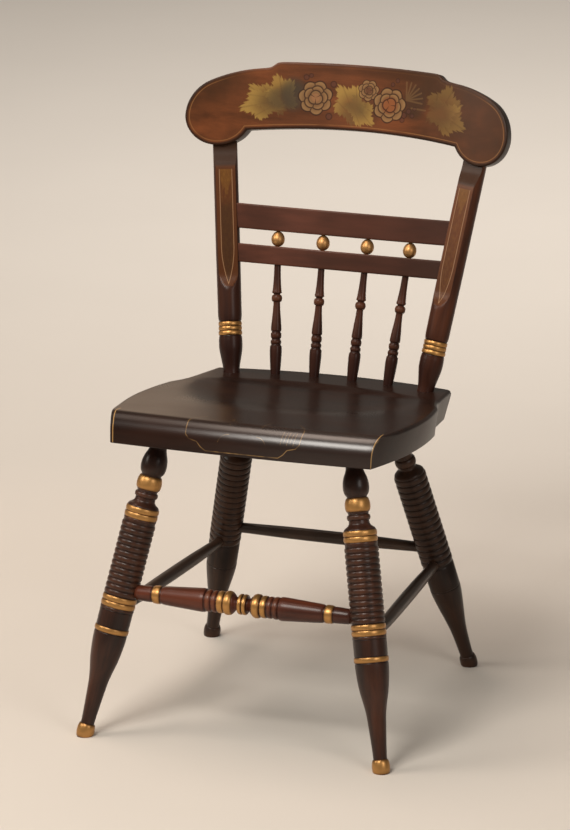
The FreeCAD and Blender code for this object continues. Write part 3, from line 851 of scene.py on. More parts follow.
def fitted(piece: bpy.types.Object, material: bpy.types.Material, slot: str, *nodes: str) -> bpy.types.Object:
    """Paints a piece and puts it in the place of the frame's own.

    Args:
        piece: The piece.
        material: Its finish.
        slot: Not used.
        nodes: The frame's nodes that it stands for.

    Returns:
        The piece.
    """
    piece.data.materials.append(material)
    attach(piece, BODY)
    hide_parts(*nodes)
    LOG.info("%s: %d points", piece.name, len(piece.data.vertices))
    return piece


# Legs and stretchers
@dataclass
class Underframe:
    """Four splayed legs and the stretchers between them."""

    front_foot: Triple = (220.2, -281.5, 0.0)
    front_top: Triple = (141.6, -175.8, 415.8)
    rear_foot: Triple = (201.9, 183.5, 0.0)
    rear_top: Triple = (114.0, 82.4, 390.2)
    ribs: int = 13
    rib_pitch: float = 8.18
    rear_ribs: int = 15
    rear_rib_pitch: float = 9.92
    rib_cut: float = 1.5
    rib_gap: float = 0.08
    # Above this height, right under the seat, a front leg is marked as hardly worn, so its paint goes dark as
    # painted shade
    painted_shade_above: float = 381.0
    dull: float = 0.08
    front_rise: float = 202.6
    side_front_rise: float = 173.2
    side_rear_rise: float = 168.7
    rear_rise: float = 190.0
    inset: float = 8.0
    end_radius: float = 7.5
    end_run: float = 24.0
    side_rod: float = 18.6
    rear_rod: float = 18.4
    turning_sides: int = 80
    rod_sides: int = 40
    legs: Paint = Paint("leg_paint", (0.060, 0.021, 0.011), (0.016, 0.008, 0.006), wear=0.18)
    # The rear legs' paint is a darker, duller copy of the front legs': painted shade under and behind the seat
    rear_legs_in_shade: Paint = Paint(
        "rear_leg_paint", (0.050, 0.023, 0.013), (0.014, 0.008, 0.006), wear=0.12, shine=0.18, coat=0.05,
        groove=0.35)
    plain: Paint = Paint("rod_paint", (0.070, 0.038, 0.024), (0.022, 0.013, 0.009), wear=0.16)
    rods: Paint = Paint("stretcher_paint", (0.11, 0.028, 0.013), (0.035, 0.011, 0.007))

    def foot(self) -> Profile:
        """The gilded ball foot of a leg."""
        return Profile(-6.0, 9.6).line(-3.0, 9.6).bead(18.2, 9.6, 3.0, 1.0, 16)

    def ribbed(self, outline: Profile, count: int, pitch: float, low: float, high: float) -> None:
        """Turns a run of ribs.

        Args:
            outline: The outline so far.
            count: How many ribs.
            pitch: The distance from rib to rib.
            low: The radius over the first rib.
            high: The radius over the last.
        """
        start = outline.stations[-1].height
        for number in range(count):
            radius = low + (high - low) * number / (count - 1) - self.rib_cut
            outline.line(start + pitch * (number + self.rib_gap), radius)
            outline.bead(start + pitch * (number + 1), radius, self.rib_cut, 0.0, 8)

    def front_leg(self) -> Profile:
        """A front leg from its foot to its tenon, with gold bands and a barrel of ribs.

        Returns:
            Its outline.
        """
        outline = self.foot()
        taper = [(23, 9.7), (33, 10.2), (47, 11.2), (58, 12), (67, 12.7), (81, 14), (95, 16.4)]
        outline.flow(taper + [(110, 19.6), (125, 21.8), (139, 23.1), (150.6, 23.6)], 4)
        outline.bead(152.4, 23.2, -0.5, 0, 4).bead(160.2, 23.2, 1.2, 1.0).bead(161.6, 23.4, -0.4, 0, 4)
        outline.line(183.6, 23.6).bead(184.6, 23.2, -0.4, 0, 4).bead(188.8, 23.0, 0.9)
        outline.bead(197.2, 23.0, 1.4, 1.0).bead(205.4, 23.0, 1.4, 1.0)
        self.ribbed(outline, self.ribs, self.rib_pitch, 24.0, 23.9)
        outline.line(315.4, 22.6).bead(318.4, 22.4, 0.5, 0, 6)
        outline.bead(326.8, 22.4, 1.3, 1.0).bead(335.2, 22.2, 1.3, 1.0)
        outline.flow([(338.2, 20.4), (341, 16.6), (344.6, 14.5)], 5)
        outline.line(348.6, 14.1).bead(356.4, 14.4, 2.2).bead(358.2, 14.4, -0.4, 0, 4).line(360.4, 14.9)
        outline.bead(380.3, 13.7, 3.4, 1.0, 18)
        outline.flow([(386, 16.9), (394, 18.3), (402, 17.7), (409, 16), (415, 13.6), (421, 12.1)], 5)
        outline.line(462.8, 12)
        # The neck under the seat is marked as hardly worn, which darkens its paint as painted shade
        outline.stations = [
            replace(one, worn=self.dull) if one.height > self.painted_shade_above else one for one in outline.stations
        ]
        return outline

    def rear_leg(self) -> Profile:
        """A rear leg, plainer, with the longer barrel.

        Returns:
            Its outline.
        """
        outline = self.foot()
        outline.stations = [replace(one, gilt=0.0) for one in outline.stations]
        taper = [(23, 9.6), (38, 10.2), (52, 11), (67, 12.4), (82, 14.7), (96, 17.1), (111, 19.6)]
        outline.flow(taper + [(124, 21.5), (136, 22.4)], 4)
        outline.bead(138.4, 22.4, -0.6, 0, 4).line(174.0, 22.8).bead(177.7, 21.8, -0.3, 0, 4)
        self.ribbed(outline, self.rear_ribs, self.rear_rib_pitch, 23.4, 23.6)
        outline.flow([(330, 21.4), (334.4, 16.4), (337.4, 12.5), (341, 12.3)], 5)
        outline.bead(354.4, 12.5, 3.0, 0, 12)
        outline.flow([(360, 12.6), (371, 17), (380, 17.3), (391, 14), (400, 12)], 5)
        outline.line(439.8, 12)
        return outline

    def front_stretcher(self) -> Profile:
        """The turned front stretcher from its left end to its right, whose right half mirrors the left.

        Returns:
            Its outline.
        """
        half = self.joint(self.front_foot, self.front_top, self.front_rise).x
        outline = Profile(-half + self.inset, self.end_radius)
        outline.line(-162, 7.8).flow([(-157, 10.4), (-147, 11.2), (-135.6, 11.6)], 4)
        outline.bead(-133.4, 11.4, -0.6, 0, 4).bead(-121.6, 12.1, 1.3, 1.0, 12).bead(-119.4, 12.2, -0.6, 0, 4)
        outline.flow([(-117, 13.0), (-100, 14.3), (-78, 15.7), (-60, 16.8), (-55.8, 16.5)], 5)
        outline.bead(-53.4, 14.6, -0.8, 0, 6).bead(-45.8, 14.4, 1.3, 0, 8).bead(-44.2, 14.2, -0.6, 0, 5)
        outline.bead(-37.8, 14.3, 1.2, 0, 8).bead(-36.0, 14.4, -0.6, 0, 5)
        outline.bead(-27.4, 14.2, 1.4, 1.0, 10).bead(-26.4, 14.2, -0.4, 0.3, 4)
        outline.bead(-15.0, 13.6, 3.2, 1.0, 16)
        outline.flow([(-13.8, 13.2), (-11.2, 10.3), (-8.6, 8.9), (-6.8, 8.7)], 5)
        outline.line(-6.2, 12.6).bead(-0.5, 13.2, 1.7, 0.66, 10).bead(0.0, 13.2, -0.3, 0.4, 4)
        outline.stations += [replace(one, height=-one.height) for one in outline.stations[-2::-1]]
        return outline

    def rod(self, length: float, middle: float) -> Profile:
        """A plain rod that swells in the middle.

        Args:
            length: The length between the legs' axes.
            middle: Its diameter there.

        Returns:
            Its outline.
        """
        end, run, radius = self.end_radius, self.end_run, middle / 2
        near = [(length * 0.15, end + 0.4), (length * 0.3, radius * 0.96), (length * 0.5, radius)]
        far = [(length - height, wide) for height, wide in reversed(near[:-1])]
        outline = Profile(self.inset, end).line(run, end)
        outline.flow(near + far + [(length - run, end)], 8)
        return outline.line(length - self.inset, end)

    @staticmethod
    def joint(foot: Triple, top: Triple, rise: float) -> Vector:
        """The point of a leg's axis at a height.

        Args:
            foot: The axis on the floor.
            top: The axis under the seat.
            rise: The height.

        Returns:
            The point.
        """
        share = (rise - foot[2]) / (top[2] - foot[2])
        return Vector(foot).lerp(Vector(top), share)

    @staticmethod
    def mirrored(point: Vector, hand: Hand) -> Vector:
        """The same point on one side of the chair, given the one on the right."""
        return Vector((point.x * hand.value, point.y, point.z))

    def build(self) -> list[bpy.types.Object]:
        """Makes the legs and stretchers.

        Returns:
            The pieces.
        """
        pieces = []
        front = self.joint(self.front_foot, self.front_top, self.front_rise)
        near = self.joint(self.front_foot, self.front_top, self.side_front_rise)
        far = self.joint(self.rear_foot, self.rear_top, self.side_rear_rise)
        rear = self.joint(self.rear_foot, self.rear_top, self.rear_rise)
        front_paint, rear_shaded_paint = self.legs.material(), self.rear_legs_in_shade.material()
        rod_paint, stretcher_paint = self.plain.material(), self.rods.material()
        for hand in Hand:
            for name, outline, foot, top, paint in (
                ("front", self.front_leg(), self.front_foot, self.front_top, front_paint),
                ("rear", self.rear_leg(), self.rear_foot, self.rear_top, rear_shaded_paint),
            ):
                line = axis_frame(self.mirrored(Vector(foot), hand), self.mirrored(Vector(top), hand))
                leg = outline.lathe(f"{name}_leg_{hand.word}_turned", line, self.turning_sides, True)
                pieces.append(fitted(leg, paint, "dark_paint", f"{name}_leg_{hand.word}"))
            start, end = self.mirrored(near, hand), self.mirrored(far, hand)
            outline = self.rod((end - start).length, self.side_rod)
            rod = outline.lathe(f"side_stretcher_{hand.word}_rod", axis_frame(start, end), self.rod_sides)
            pieces.append(fitted(rod, rod_paint, "stretcher_paint", f"side_stretcher_{hand.word}"))
        start = self.mirrored(rear, Hand.LEFT)
        outline = self.rod((rear - start).length, self.rear_rod)
        rod = outline.lathe("rear_stretcher_rod", axis_frame(start, rear), self.rod_sides)
        pieces.append(fitted(rod, rod_paint, "stretcher_paint", "rear_stretcher"))
        line = axis_frame(Vector((0, front.y, front.z)), front)
        turning = self.front_stretcher().lathe("front_stretcher_turned", line, self.turning_sides)
        pieces.append(fitted(turning, stretcher_paint, "stretcher_paint", "front_stretcher"))
        return pieces


# Seat
@dataclass(frozen=True)
class Dish:
    """The saddle cut in the seat's top: it starts further back at the sides and ends in a crisp rear wall."""

    depth: float = 9.0
    half: float = 172.0
    side_power: float = 2.8
    start: float = 110.0
    start_bend: float = 70.0
    fall: float = 120.0
    end: float = 354.0
    end_bend: float = 34.0
    crisp_run: float = 18.0
    crisp_share: float = 0.55
    long_run: float = 90.0

    def cut(self, x: float, y: float) -> float:
        """How deep the top is cut at a point.

        Args:
            x: Across.
            y: Behind the front.

        Returns:
            The depth.
        """
        across = abs(x) / self.half
        if across >= 1:
            return 0.0
        left = self.end - self.end_bend * across ** 2 - y
        crisp = math.sin(covered(left, 0.0, self.crisp_run) * math.pi / 2)
        long = math.sin(covered(left, 0.0, self.long_run) * math.pi / 2)
        wall = self.crisp_share * crisp + (1 - self.crisp_share) * long
        start = self.start + self.start_bend * across ** 2
        return self.depth * (1 - across ** self.side_power) * eased(covered(y, start, self.fall)) * wall


@dataclass(frozen=True)
class GoldLines:
    """The fine lines on the seat's rolled front.

    Each line is a row of points: the distance across from its middle, and the distance up round the roll.
    """

    gold: Triple = (0.36, 0.21, 0.075)
    ends_middle: float = 2.0
    middle: float = 5.5
    corner: tuple[Point, ...] = (
        (188.6, 0.4), (188.8, 14), (189.6, 28), (191.5, 40), (193.4, 52), (192.5, 68),
    )
    bracket: tuple[Point, ...] = (
        (0, 3.2), (53, 3.2), (60, 8), (66, 15), (78, 18), (83, 24), (84.5, 46), (81, 58), (68, 78),
    )
    curls: tuple[tuple[Point, ...], ...] = (
        ((20, 29.5), (25.5, 28.6), (30, 25.8), (33, 22), (35, 17.5)),
        ((22.8, 46), (24.4, 54), (26.8, 66), (27.6, 78)),
    )
    ears: int = 5

    def ear(self, number: int) -> tuple[Point, Point]:
        """One ear of the small sheaf at the right: long and short by turns, and leaning out."""
        short = number % 2
        return (61 + number * 4.6, 22 + short * 3), (63 + number * 4.8, 42 - short * 2)

    def dress(self, shade: Shade, colour: Span) -> Span:
        """Draws the lines.

        Args:
            shade: The material.
            colour: The paint under them.

        Returns:
            The colour with the lines on it.
        """
        x, _, _ = shade.place().parts()
        girth = shade.mark("girth")
        ends = shade.point(abs(x / MM - self.ends_middle), girth)
        middle = shade.point(abs(x / MM - self.middle), girth)
        corner = shade.stroke(ends, self.corner)
        bracket = shade.stroke(middle, self.bracket)
        curls = shade.stroke(middle, *self.curls)
        sheaf = shade.stroke(shade.point(x / MM, girth), *map(self.ear, range(self.ears)))
        wear = shade.noise(shade.place(), 55.0, 3.0)
        lines = corner.ramp(0.95, 0.35) * 0.95
        lines = lines.most(bracket.ramp(0.8, 0.25) * (wear + 0.3).ramp(0.55, 0.95) * 0.6)
        lines = lines.most(curls.ramp(0.7, 0.2) * (wear + 0.2).ramp(0.55, 0.95) * 0.5)
        lines = lines.most(sheaf.ramp(0.6, 0.2) * 0.3)
        return shade.mix(lines, colour, self.gold)


@dataclass
class Seat:
    """The plank seat, with a rolled front, a dished top and an undercut rim.

    The plan runs from the front's corners over the fullest point and the turn to the waist, and to the rear's
    corners. An arris is crisp at the rolled front and soft behind it.
    """

    origin: Triple = (0.0, -250.5, 466.2)
    fall: float = 42.6 / 432.0
    depth: float = 432.0
    thickness: float = 42.8
    front_half: float = 192.0
    rear_half: float = 180.0
    front_bow: float = 8.5
    rear_bow: float = 31.0
    undercut: float = 7.0
    front_undercut: float = 0.2
    turn_undercut: float = 0.85
    face_undercut: float = 0.98
    rear_undercut: float = 0.95
    roll: float = 27.0
    rim: float = 5.5
    crisp: float = 1.0
    rim_start: float = 22.0
    rim_run: float = 60.0
    lip: float = 1.2
    apron: float = 8.0
    rear_arris: float = 1.6
    full_half: float = 212.5
    turn_half: float = 203.5
    turn_back: float = 273.0
    waist_half: float = 188.5
    waist_back: float = 321.8
    waist_bow: float = -2.4
    across_steps: int = 48
    arris_steps: int = 6
    roll_steps: int = 16
    top_steps: int = 90
    under_gap: float = 0.01
    crease: float = 30.0
    boards: int = 4
    dish: Dish = Dish()
    lines: GoldLines = GoldLines()
    paint: Paint = RollPaint(
        "seat_paint", (0.040, 0.013, 0.0065), (0.016, 0.0065, 0.0042), streak=(5.0, 60.0, 60.0),
        rough=0.30, coat=0.03, coat_rough=0.27, shine=0.17, wear=0.2, texture=0.03)

    def frame(self) -> Matrix:
        """The seat's directions: across, back along its top, and square up."""
        return tipped_frame(self.origin, self.fall)

    def half(self, back: float, down: float) -> float:
        """Half the seat's width.

        Args:
            back: The distance behind the front.
            down: How far under the top.

        Returns:
            The half width.
        """
        drawn = self.undercut * down / self.thickness
        front = (self.front_half - drawn * self.front_undercut, self.front_bow)
        turn = (self.turn_half - drawn * self.turn_undercut, self.turn_back)
        waist = (self.waist_half - drawn, self.waist_back)
        rear = (self.rear_half - drawn, self.depth - self.rear_bow - drawn)
        if back < turn[1]:
            bulge = self.full_half - drawn - (front[0] + turn[0]) / 2
            return bowed_between(front, turn, bulge, back)
        if back < waist[1]:
            return bowed_between(turn, waist, self.waist_bow, back)
        return waist[0] + (rear[0] - waist[0]) * (back - waist[1]) / (rear[1] - waist[1])

    def front(self, x: float) -> float:
        """How far the bowed front lies behind its middle at a distance across."""
        radius = (self.front_half ** 2 + self.front_bow ** 2) / (2 * self.front_bow)
        return radius - math.sqrt(radius * radius - x * x)

    def rear(self, x: float) -> float:
        """Where the bowed rear edge lies at a distance across."""
        radius = (self.rear_half ** 2 + self.rear_bow ** 2) / (2 * self.rear_bow)
        return self.depth - radius + math.sqrt(radius * radius - x * x)

    @property
    def side_end(self) -> float:
        """Where the sides meet the bowed rear edge."""
        return self.depth - self.rear_bow

    def rim_at(self, back: float) -> float:
        """The radius of the side's upper arris at a distance behind the front."""
        return self.crisp + (self.rim - self.crisp) * eased(covered(back, self.rim_start, self.rim_run))

    def across(self, side: int, value: float, back: float, down: float) -> tuple[float, float]:
        """Where a section crosses a line at a distance behind the front.

        Args:
            side: -1 or 1 on a side's arris, or 0 between them.
            value: The share of the way round that arris, or of the way across.
            back: The distance.
            down: How far under the top.

        Returns:
            The place across, and how far the arris has drawn the surface in there.
        """
        half = self.half(back, down)
        rim = self.rim_at(back) if down < self.thickness else self.crisp
        if not side:
            return (2 * value - 1) * (half - rim), 0.0
        turn = value * math.pi / 2
        return side * (half - rim * (1 - math.cos(turn))), rim * (1 - math.sin(turn))

    def section(self, side: int, value: float) -> list[Triple]:
        """One section of the seat, from the bottom of the front, over the top and back underneath.

        Args:
            side: -1 or 1 on a side's arris, or 0 between them.
            value: The share of the way round that arris, or of the way across.

        Returns:
            The section's points: one underneath for each on top.
        """
        low, roll, heel = -self.thickness, self.roll, self.rear_arris
        upper: list[Triple] = []
        for height in (low + self.lip, low + self.apron, -roll):
            x, drawn = self.across(side, value, self.front_bow, -height * self.face_undercut)
            upper.append((x, self.front(x) + drawn, height))
        for step in range(1, self.roll_steps + 1):
            turn = math.pi / 2 * step / self.roll_steps
            back = roll * (1 - math.cos(turn)) + self.front_bow
            x, drawn = self.across(side, value, back, roll * (1 - math.sin(turn)))
            reach = roll - drawn
            upper.append((x, self.front(x) + roll - reach * math.cos(turn), reach * math.sin(turn) - roll))
        start = roll + self.front_bow
        for step in range(1, self.top_steps + 1):
            share = step / self.top_steps
            x, drawn = self.across(side, value, start + (self.side_end - start) * share, 0.0)
            y = self.front(x) + roll + (self.rear(x) - heel - self.front(x) - roll) * share
            upper.append((x, y, -self.dish.cut(x, y) - drawn))
        for step in range(1, self.arris_steps + 1):
            turn = math.pi / 2 * step / self.arris_steps
            sunk = heel * (1 - math.cos(turn))
            x, drawn = self.across(side, value, self.side_end, sunk)
            upper.append((x, self.rear(x) - heel * (1 - math.sin(turn)), -sunk - drawn))
        x, _ = self.across(side, value, self.side_end, self.thickness * self.face_undercut)
        upper.append((x, self.rear(x) - self.undercut * self.rear_undercut, low + self.lip))
        lower = []
        for number, (x, y, _) in enumerate(upper):
            reach = self.rear(x) - self.front(x)
            back = (y - self.front(x)) * (reach - self.undercut - 2 * self.lip) / reach
            back = min(back + self.lip + number * self.under_gap, reach - self.undercut - self.lip)
            x, drawn = self.across(side, value, min(back + self.front(x), self.side_end), self.thickness)
            lower.append((x, self.front(x) + back, low + drawn))
        return upper + list(reversed(lower))

    def build(self) -> list[bpy.types.Object]:
        """Makes the seat.

        Returns:
            The piece.
        """
        shell = Shell()
        steps, count = self.arris_steps, self.across_steps
        places = [(-1, step / steps) for step in range(steps + 1)]
        places += [(0, step / count) for step in range(1, count)]
        places += [(1, step / steps) for step in reversed(range(steps + 1))]
        sections = []
        for side, value in places:
            points = self.section(side, value)
            girth = [0.0]
            for before, after in zip(points, points[1:]):
                girth.append(girth[-1] + math.dist(before, after))
            sections.append(shell.row(points, girth=girth))
        shell.skin(sections[::-1])
        for line in (sections[0], sections[-1]):
            for step in range(len(line) // 2 - 1):
                shell.faces.append((line[step], line[step + 1], line[-2 - step], line[-1 - step]))
        seat = shell.piece("seat_plank", self.frame(), self.crease)
        boards = [f"seat_board_{number}" for number in range(1, self.boards + 1)]
        return [fitted(seat, self.paint.material(self.lines.dress), "seat_paint", *boards)]


# Ornament of the back
class Axis(Enum):
    """A direction of the back or of a stile."""

    ACROSS = 0
    UP = 2


@dataclass(frozen=True)
class Fade:
    """Paint that darkens along a direction, from a start to where it is full, in millimetres."""

    axis: Axis
    start: float
    full: float
    strength: float
    colour: Triple

    def dress(self, shade: Shade, colour: Span) -> Span:
        """Darkens the paint.

        Args:
            shade: The material.
            colour: The paint.

        Returns:
            The darker colour.
        """
        place = shade.place().parts()[self.axis.value] / MM
        return shade.mix(place.ramp(self.start, self.full) * self.strength, colour, self.colour)


FOOT_FADE = Fade(Axis.UP, 130.0, 20.0, 0.7, (0.016, 0.006, 0.005))
RIGHT_FADE = Fade(Axis.ACROSS, -60.0, 120.0, 0.62, (0.030, 0.014, 0.010))


@dataclass(frozen=True)
class Panel:
    """The long pointed bronze panel on a stile's planed face, with painted shadow in the scoop above it.

    Heights run up the stile. Tarnish says how dark the lower part of the bronze has gone.
    """

    tarnish: float = 0.0
    point: float = 132.6
    taper: float = 56.0
    half: float = 9.1
    line_foot: float = 131.0
    line_top: float = 300.0
    bright_foot: float = 268.0
    tarnish_top: float = 262.0
    scoop: float = 302.0
    glaze: Triple = (0.112, 0.036, 0.009)
    # The scoop's colour is painted shadow, cast by the crest's overhanging lobe
    hollow: Triple = (0.030, 0.014, 0.007)
    bronze: Triple = (0.175, 0.078, 0.016)
    dull: Triple = (0.034, 0.018, 0.009)
    line: Triple = (0.36, 0.21, 0.11)

    def dress(self, shade: Shade, colour: Span) -> Span:
        """Draws the panel.

        Args:
            shade: The material.
            colour: The paint under it.

        Returns:
            The colour with the panel on it.
        """
        x, _, up = shade.place().parts()
        x, up = abs(x / MM), up / MM
        front = shade.mark("front").ramp(0.6, 0.95)
        taper = ((up - self.point) / self.taper).most(0.0).least(1.0)
        wide = taper * (2.0 - taper) * self.half
        along = (up - self.line_foot).ramp(0.0, 2.0) * (self.line_top - up).ramp(0.0, 1.5)
        line = abs(x - wide).ramp(0.75, 0.3) * along * front
        cloud = shade.noise(shade.place() * (260.0, 1.0, 75.0), 1.0, 4.0, 0.6)
        leaf = shade.noise(shade.place() * (420.0, 1.0, 160.0), 1.0, 2.0, 0.5)
        bright = (up - self.bright_foot + (4.0 - x) * 2.4 + (cloud - 0.5) * 24.0).ramp(0.0, 12.0)
        inside = (wide - x).ramp(0.0, 2.5) * along * front
        bronze = (cloud * 0.5 + leaf * 0.5).ramp(0.40, 0.72) * inside
        colour = shade.mix(front * 0.55, colour, self.glaze)
        # Painted shadow in the scoop under the crest's lobe
        colour = shade.mix((up - self.scoop).ramp(0.0, 5.0) * front * 0.85, colour, self.hollow)
        colour = shade.mix(bronze * 0.42 + bright * inside * 0.40, colour, self.bronze)
        if self.tarnish:
            low = (self.tarnish_top - up + (cloud - 0.5) * 40.0).ramp(0.0, 22.0)
            colour = shade.mix(low * inside * (leaf * 0.5 + 0.65) * self.tarnish, colour, self.dull)
        return shade.mix(line * 0.6, FOOT_FADE.dress(shade, colour), self.line)


@dataclass(frozen=True)
class Sheet:
    """The crest as the stenciller sees it.

    x and up are the place across and up the back in millimetres. Front is 1 on the crest's front.
    """

    shade: Shade
    x: Number
    up: Number
    front: Number

    def within(self, x: float, up: float, wide: float, high: float) -> tuple[Number, Number]:
        """The place seen from a motif's middle, in parts of its half width and half height."""
        return (self.x - x) / wide, (self.up - up) / high


@dataclass(frozen=True)
class Patch:
    """A soft round patch of tarnish."""

    x: float
    up: float
    wide: float
    high: float
    strength: float

    def depth(self, sheet: Sheet) -> Number:
        """How dark the patch is at the sheet's place."""
        across, rise = sheet.within(self.x, self.up, self.wide, self.high)
        return (across * across + rise * rise).ramp(1.0, 0.1) * self.strength


@dataclass(frozen=True)
class Leaf:
    """A lobed, toothed leaf of gold powder that fades towards its stalk."""

    x: float
    up: float
    long: float
    wide: float
    turn: float
    phase: float
    bright: float
    lobes: int = 5
    lobe: float = 0.13
    teeth: float = 3.5
    tooth: float = 0.16
    nicks: float = 8.3
    nick: float = 0.06
    rim: float = 0.84
    veins: float = 7.0
    gold: Triple = (0.29, 0.175, 0.045)
    olive: Triple = (0.095, 0.058, 0.022)

    def draw(self, sheet: Sheet, colour: Span) -> Span:
        """Draws the leaf.

        Args:
            sheet: The crest.
            colour: The colour so far.

        Returns:
            The colour with the leaf on it.
        """
        turn = math.radians(self.turn)
        across, rise = sheet.x - self.x, sheet.up - self.up
        along = (across * math.cos(turn) + rise * math.sin(turn)) / self.long
        side = (rise * math.cos(turn) - across * math.sin(turn)) / self.wide
        reach = (along * along + side * side).root()
        angle = side.angle(along)
        lobes = (angle * self.lobes + self.phase).sine() * self.lobe
        teeth = ((angle * self.teeth + self.phase).fraction() - 0.5) * self.tooth
        nicks = ((angle * self.nicks).fraction() - 0.5) * self.nick
        inside = (lobes + teeth + nicks + self.rim - reach).ramp(-0.02, 0.05) * sheet.front
        tone = (along * 0.42 + reach * 0.38 + 0.36).ramp(0.15, 0.95)
        veins = abs((side.angle(along + 0.9) * self.veins).sine()).ramp(0.0, 0.35)
        tone = tone * (veins * 0.25 + 0.75)
        powder = sheet.shade.mix(tone, self.olive, self.gold)
        return sheet.shade.mix(inside * (tone * 0.5 + 0.5) * self.bright, colour, powder)


@dataclass(frozen=True)
class Rose:
    """An open flower of scalloped rings of petals, each ring with its count and its share of the size."""

    x: float
    up: float
    wide: float
    high: float
    phase: float
    core: Triple
    core_size: float
    rings: tuple[tuple[int, float], ...] = ((7, 1.0), (5, 0.70), (3, 0.42))
    scallop: float = 0.16
    petal: Triple = (0.25, 0.140, 0.058)
    petal_shade: Triple = (0.15, 0.078, 0.034)
    ink: Triple = (0.026, 0.011, 0.007)

    def draw(self, sheet: Sheet, colour: Span) -> Span:
        """Draws the rose.

        Args:
            sheet: The crest.
            colour: The colour so far.

        Returns:
            The colour with the rose on it.
        """
        shade = sheet.shade
        across, rise = sheet.within(self.x, self.up, self.wide, self.high)
        reach = (across * across + rise * rise).root()
        angle = rise.angle(across)
        fill: Span | None = None
        for number, (petals, size) in enumerate(self.rings):
            wave = abs((angle * (petals / 2) + self.phase + number).sine())
            edge = (wave * self.scallop + (1 - self.scallop)) * size
            inside = (edge - reach).ramp(-0.01, 0.03)
            rim = abs(edge - reach).ramp(0.060, 0.020)
            line = rim.most(wave.ramp(0.22, 0.06) * inside)
            petal = shade.mix((reach / size).ramp(0.55, 1.0), self.petal_shade, self.petal)
            if fill is None:
                fill, ink, whole = petal, line, inside
            else:
                fill = shade.mix(inside, fill, petal)
                ink = (ink * (1.0 - inside)).most(line)
        core = reach.ramp(self.core_size, self.core_size * 0.6)
        fill = shade.mix(core * 0.85, fill, self.core)
        colour = shade.mix(whole * sheet.front * 0.86, colour, fill)
        return shade.mix(ink * sheet.front * 0.85, colour, self.ink)


@dataclass(frozen=True)
class Berry:
    """A dark berry with an inked rim."""

    x: float
    up: float
    radius: float
    skin: Triple = (0.075, 0.030, 0.022)
    ink: Triple = (0.026, 0.011, 0.007)

    def draw(self, sheet: Sheet, colour: Span) -> Span:
        """Draws the berry.

        Args:
            sheet: The crest.
            colour: The colour so far.

        Returns:
            The colour with the berry on it.
        """
        across, rise = sheet.x - self.x, sheet.up - self.up
        reach = (across * across + rise * rise).root() / self.radius
        ring = abs(reach - 0.85).ramp(0.25, 0.08)
        colour = sheet.shade.mix(reach.ramp(1.0, 0.7) * sheet.front * 0.5, colour, self.skin)
        return sheet.shade.mix(ring * sheet.front * 0.6, colour, self.ink)


@dataclass(frozen=True)
class Fan:
    """Fine rays of bronze powder round a point, with one more below them.

    The rays start at every few degrees between the first and the last.
    """

    x: float = 75.0
    up: float = 418.0
    wide: float = 25.0
    high: float = 26.0
    first: int = -8
    last: int = 100
    between: int = 17
    low_ray: tuple[Point, Point] = ((84, 407), (106, 405))
    powder: Triple = (0.19, 0.105, 0.042)

    def ray(self, degrees: float) -> tuple[Point, Point]:
        """One ray, from the fan's middle outward."""
        turn = math.radians(degrees)
        return (self.x, self.up), (self.x + self.wide * math.cos(turn), self.up + self.high * math.sin(turn))

    def draw(self, sheet: Sheet, colour: Span) -> Span:
        """Draws the rays.

        Args:
            sheet: The crest.
            colour: The colour so far.

        Returns:
            The colour with the rays on it.
        """
        rays = [self.ray(degrees) for degrees in range(self.first, self.last, self.between)]
        near = sheet.shade.stroke(sheet.shade.point(sheet.x, sheet.up), *rays, self.low_ray)
        return sheet.shade.mix(near.ramp(1.9, 0.5) * sheet.front * 0.34, colour, self.powder)


@dataclass(frozen=True)
class Border:
    """The crest's dark edge, with a fine line inside it, by the distance in from the edge.

    Both grow fainter above a height up the back. The crest's rounded edges and its back are dark too.
    """

    dark: Triple = (0.018, 0.010, 0.007)
    line: Triple = (0.30, 0.14, 0.05)
    line_in: float = 6.0
    top: float = 436.0
    run: float = 22.0

    def draw(self, sheet: Sheet, colour: Span, powder: Number) -> Span:
        """Draws the border.

        Args:
            sheet: The crest.
            colour: The colour so far.
            powder: A soft noise that breaks the line.

        Returns:
            The colour with the border on it.
        """
        inset = sheet.shade.mark("inset")
        low = (self.top - sheet.up).ramp(0.0, self.run)
        dark = (inset.ramp(4.4, 2.6) * (low * 0.56 + 0.25)).most((1.0 - sheet.front) * 0.95)
        colour = sheet.shade.mix(dark, colour, self.dark)
        line = abs(inset - self.line_in).ramp(0.8, 0.3) * sheet.front * (low * 0.46 + 0.07)
        return sheet.shade.mix(line * (powder + 0.25).ramp(0.4, 0.8), colour, self.line)


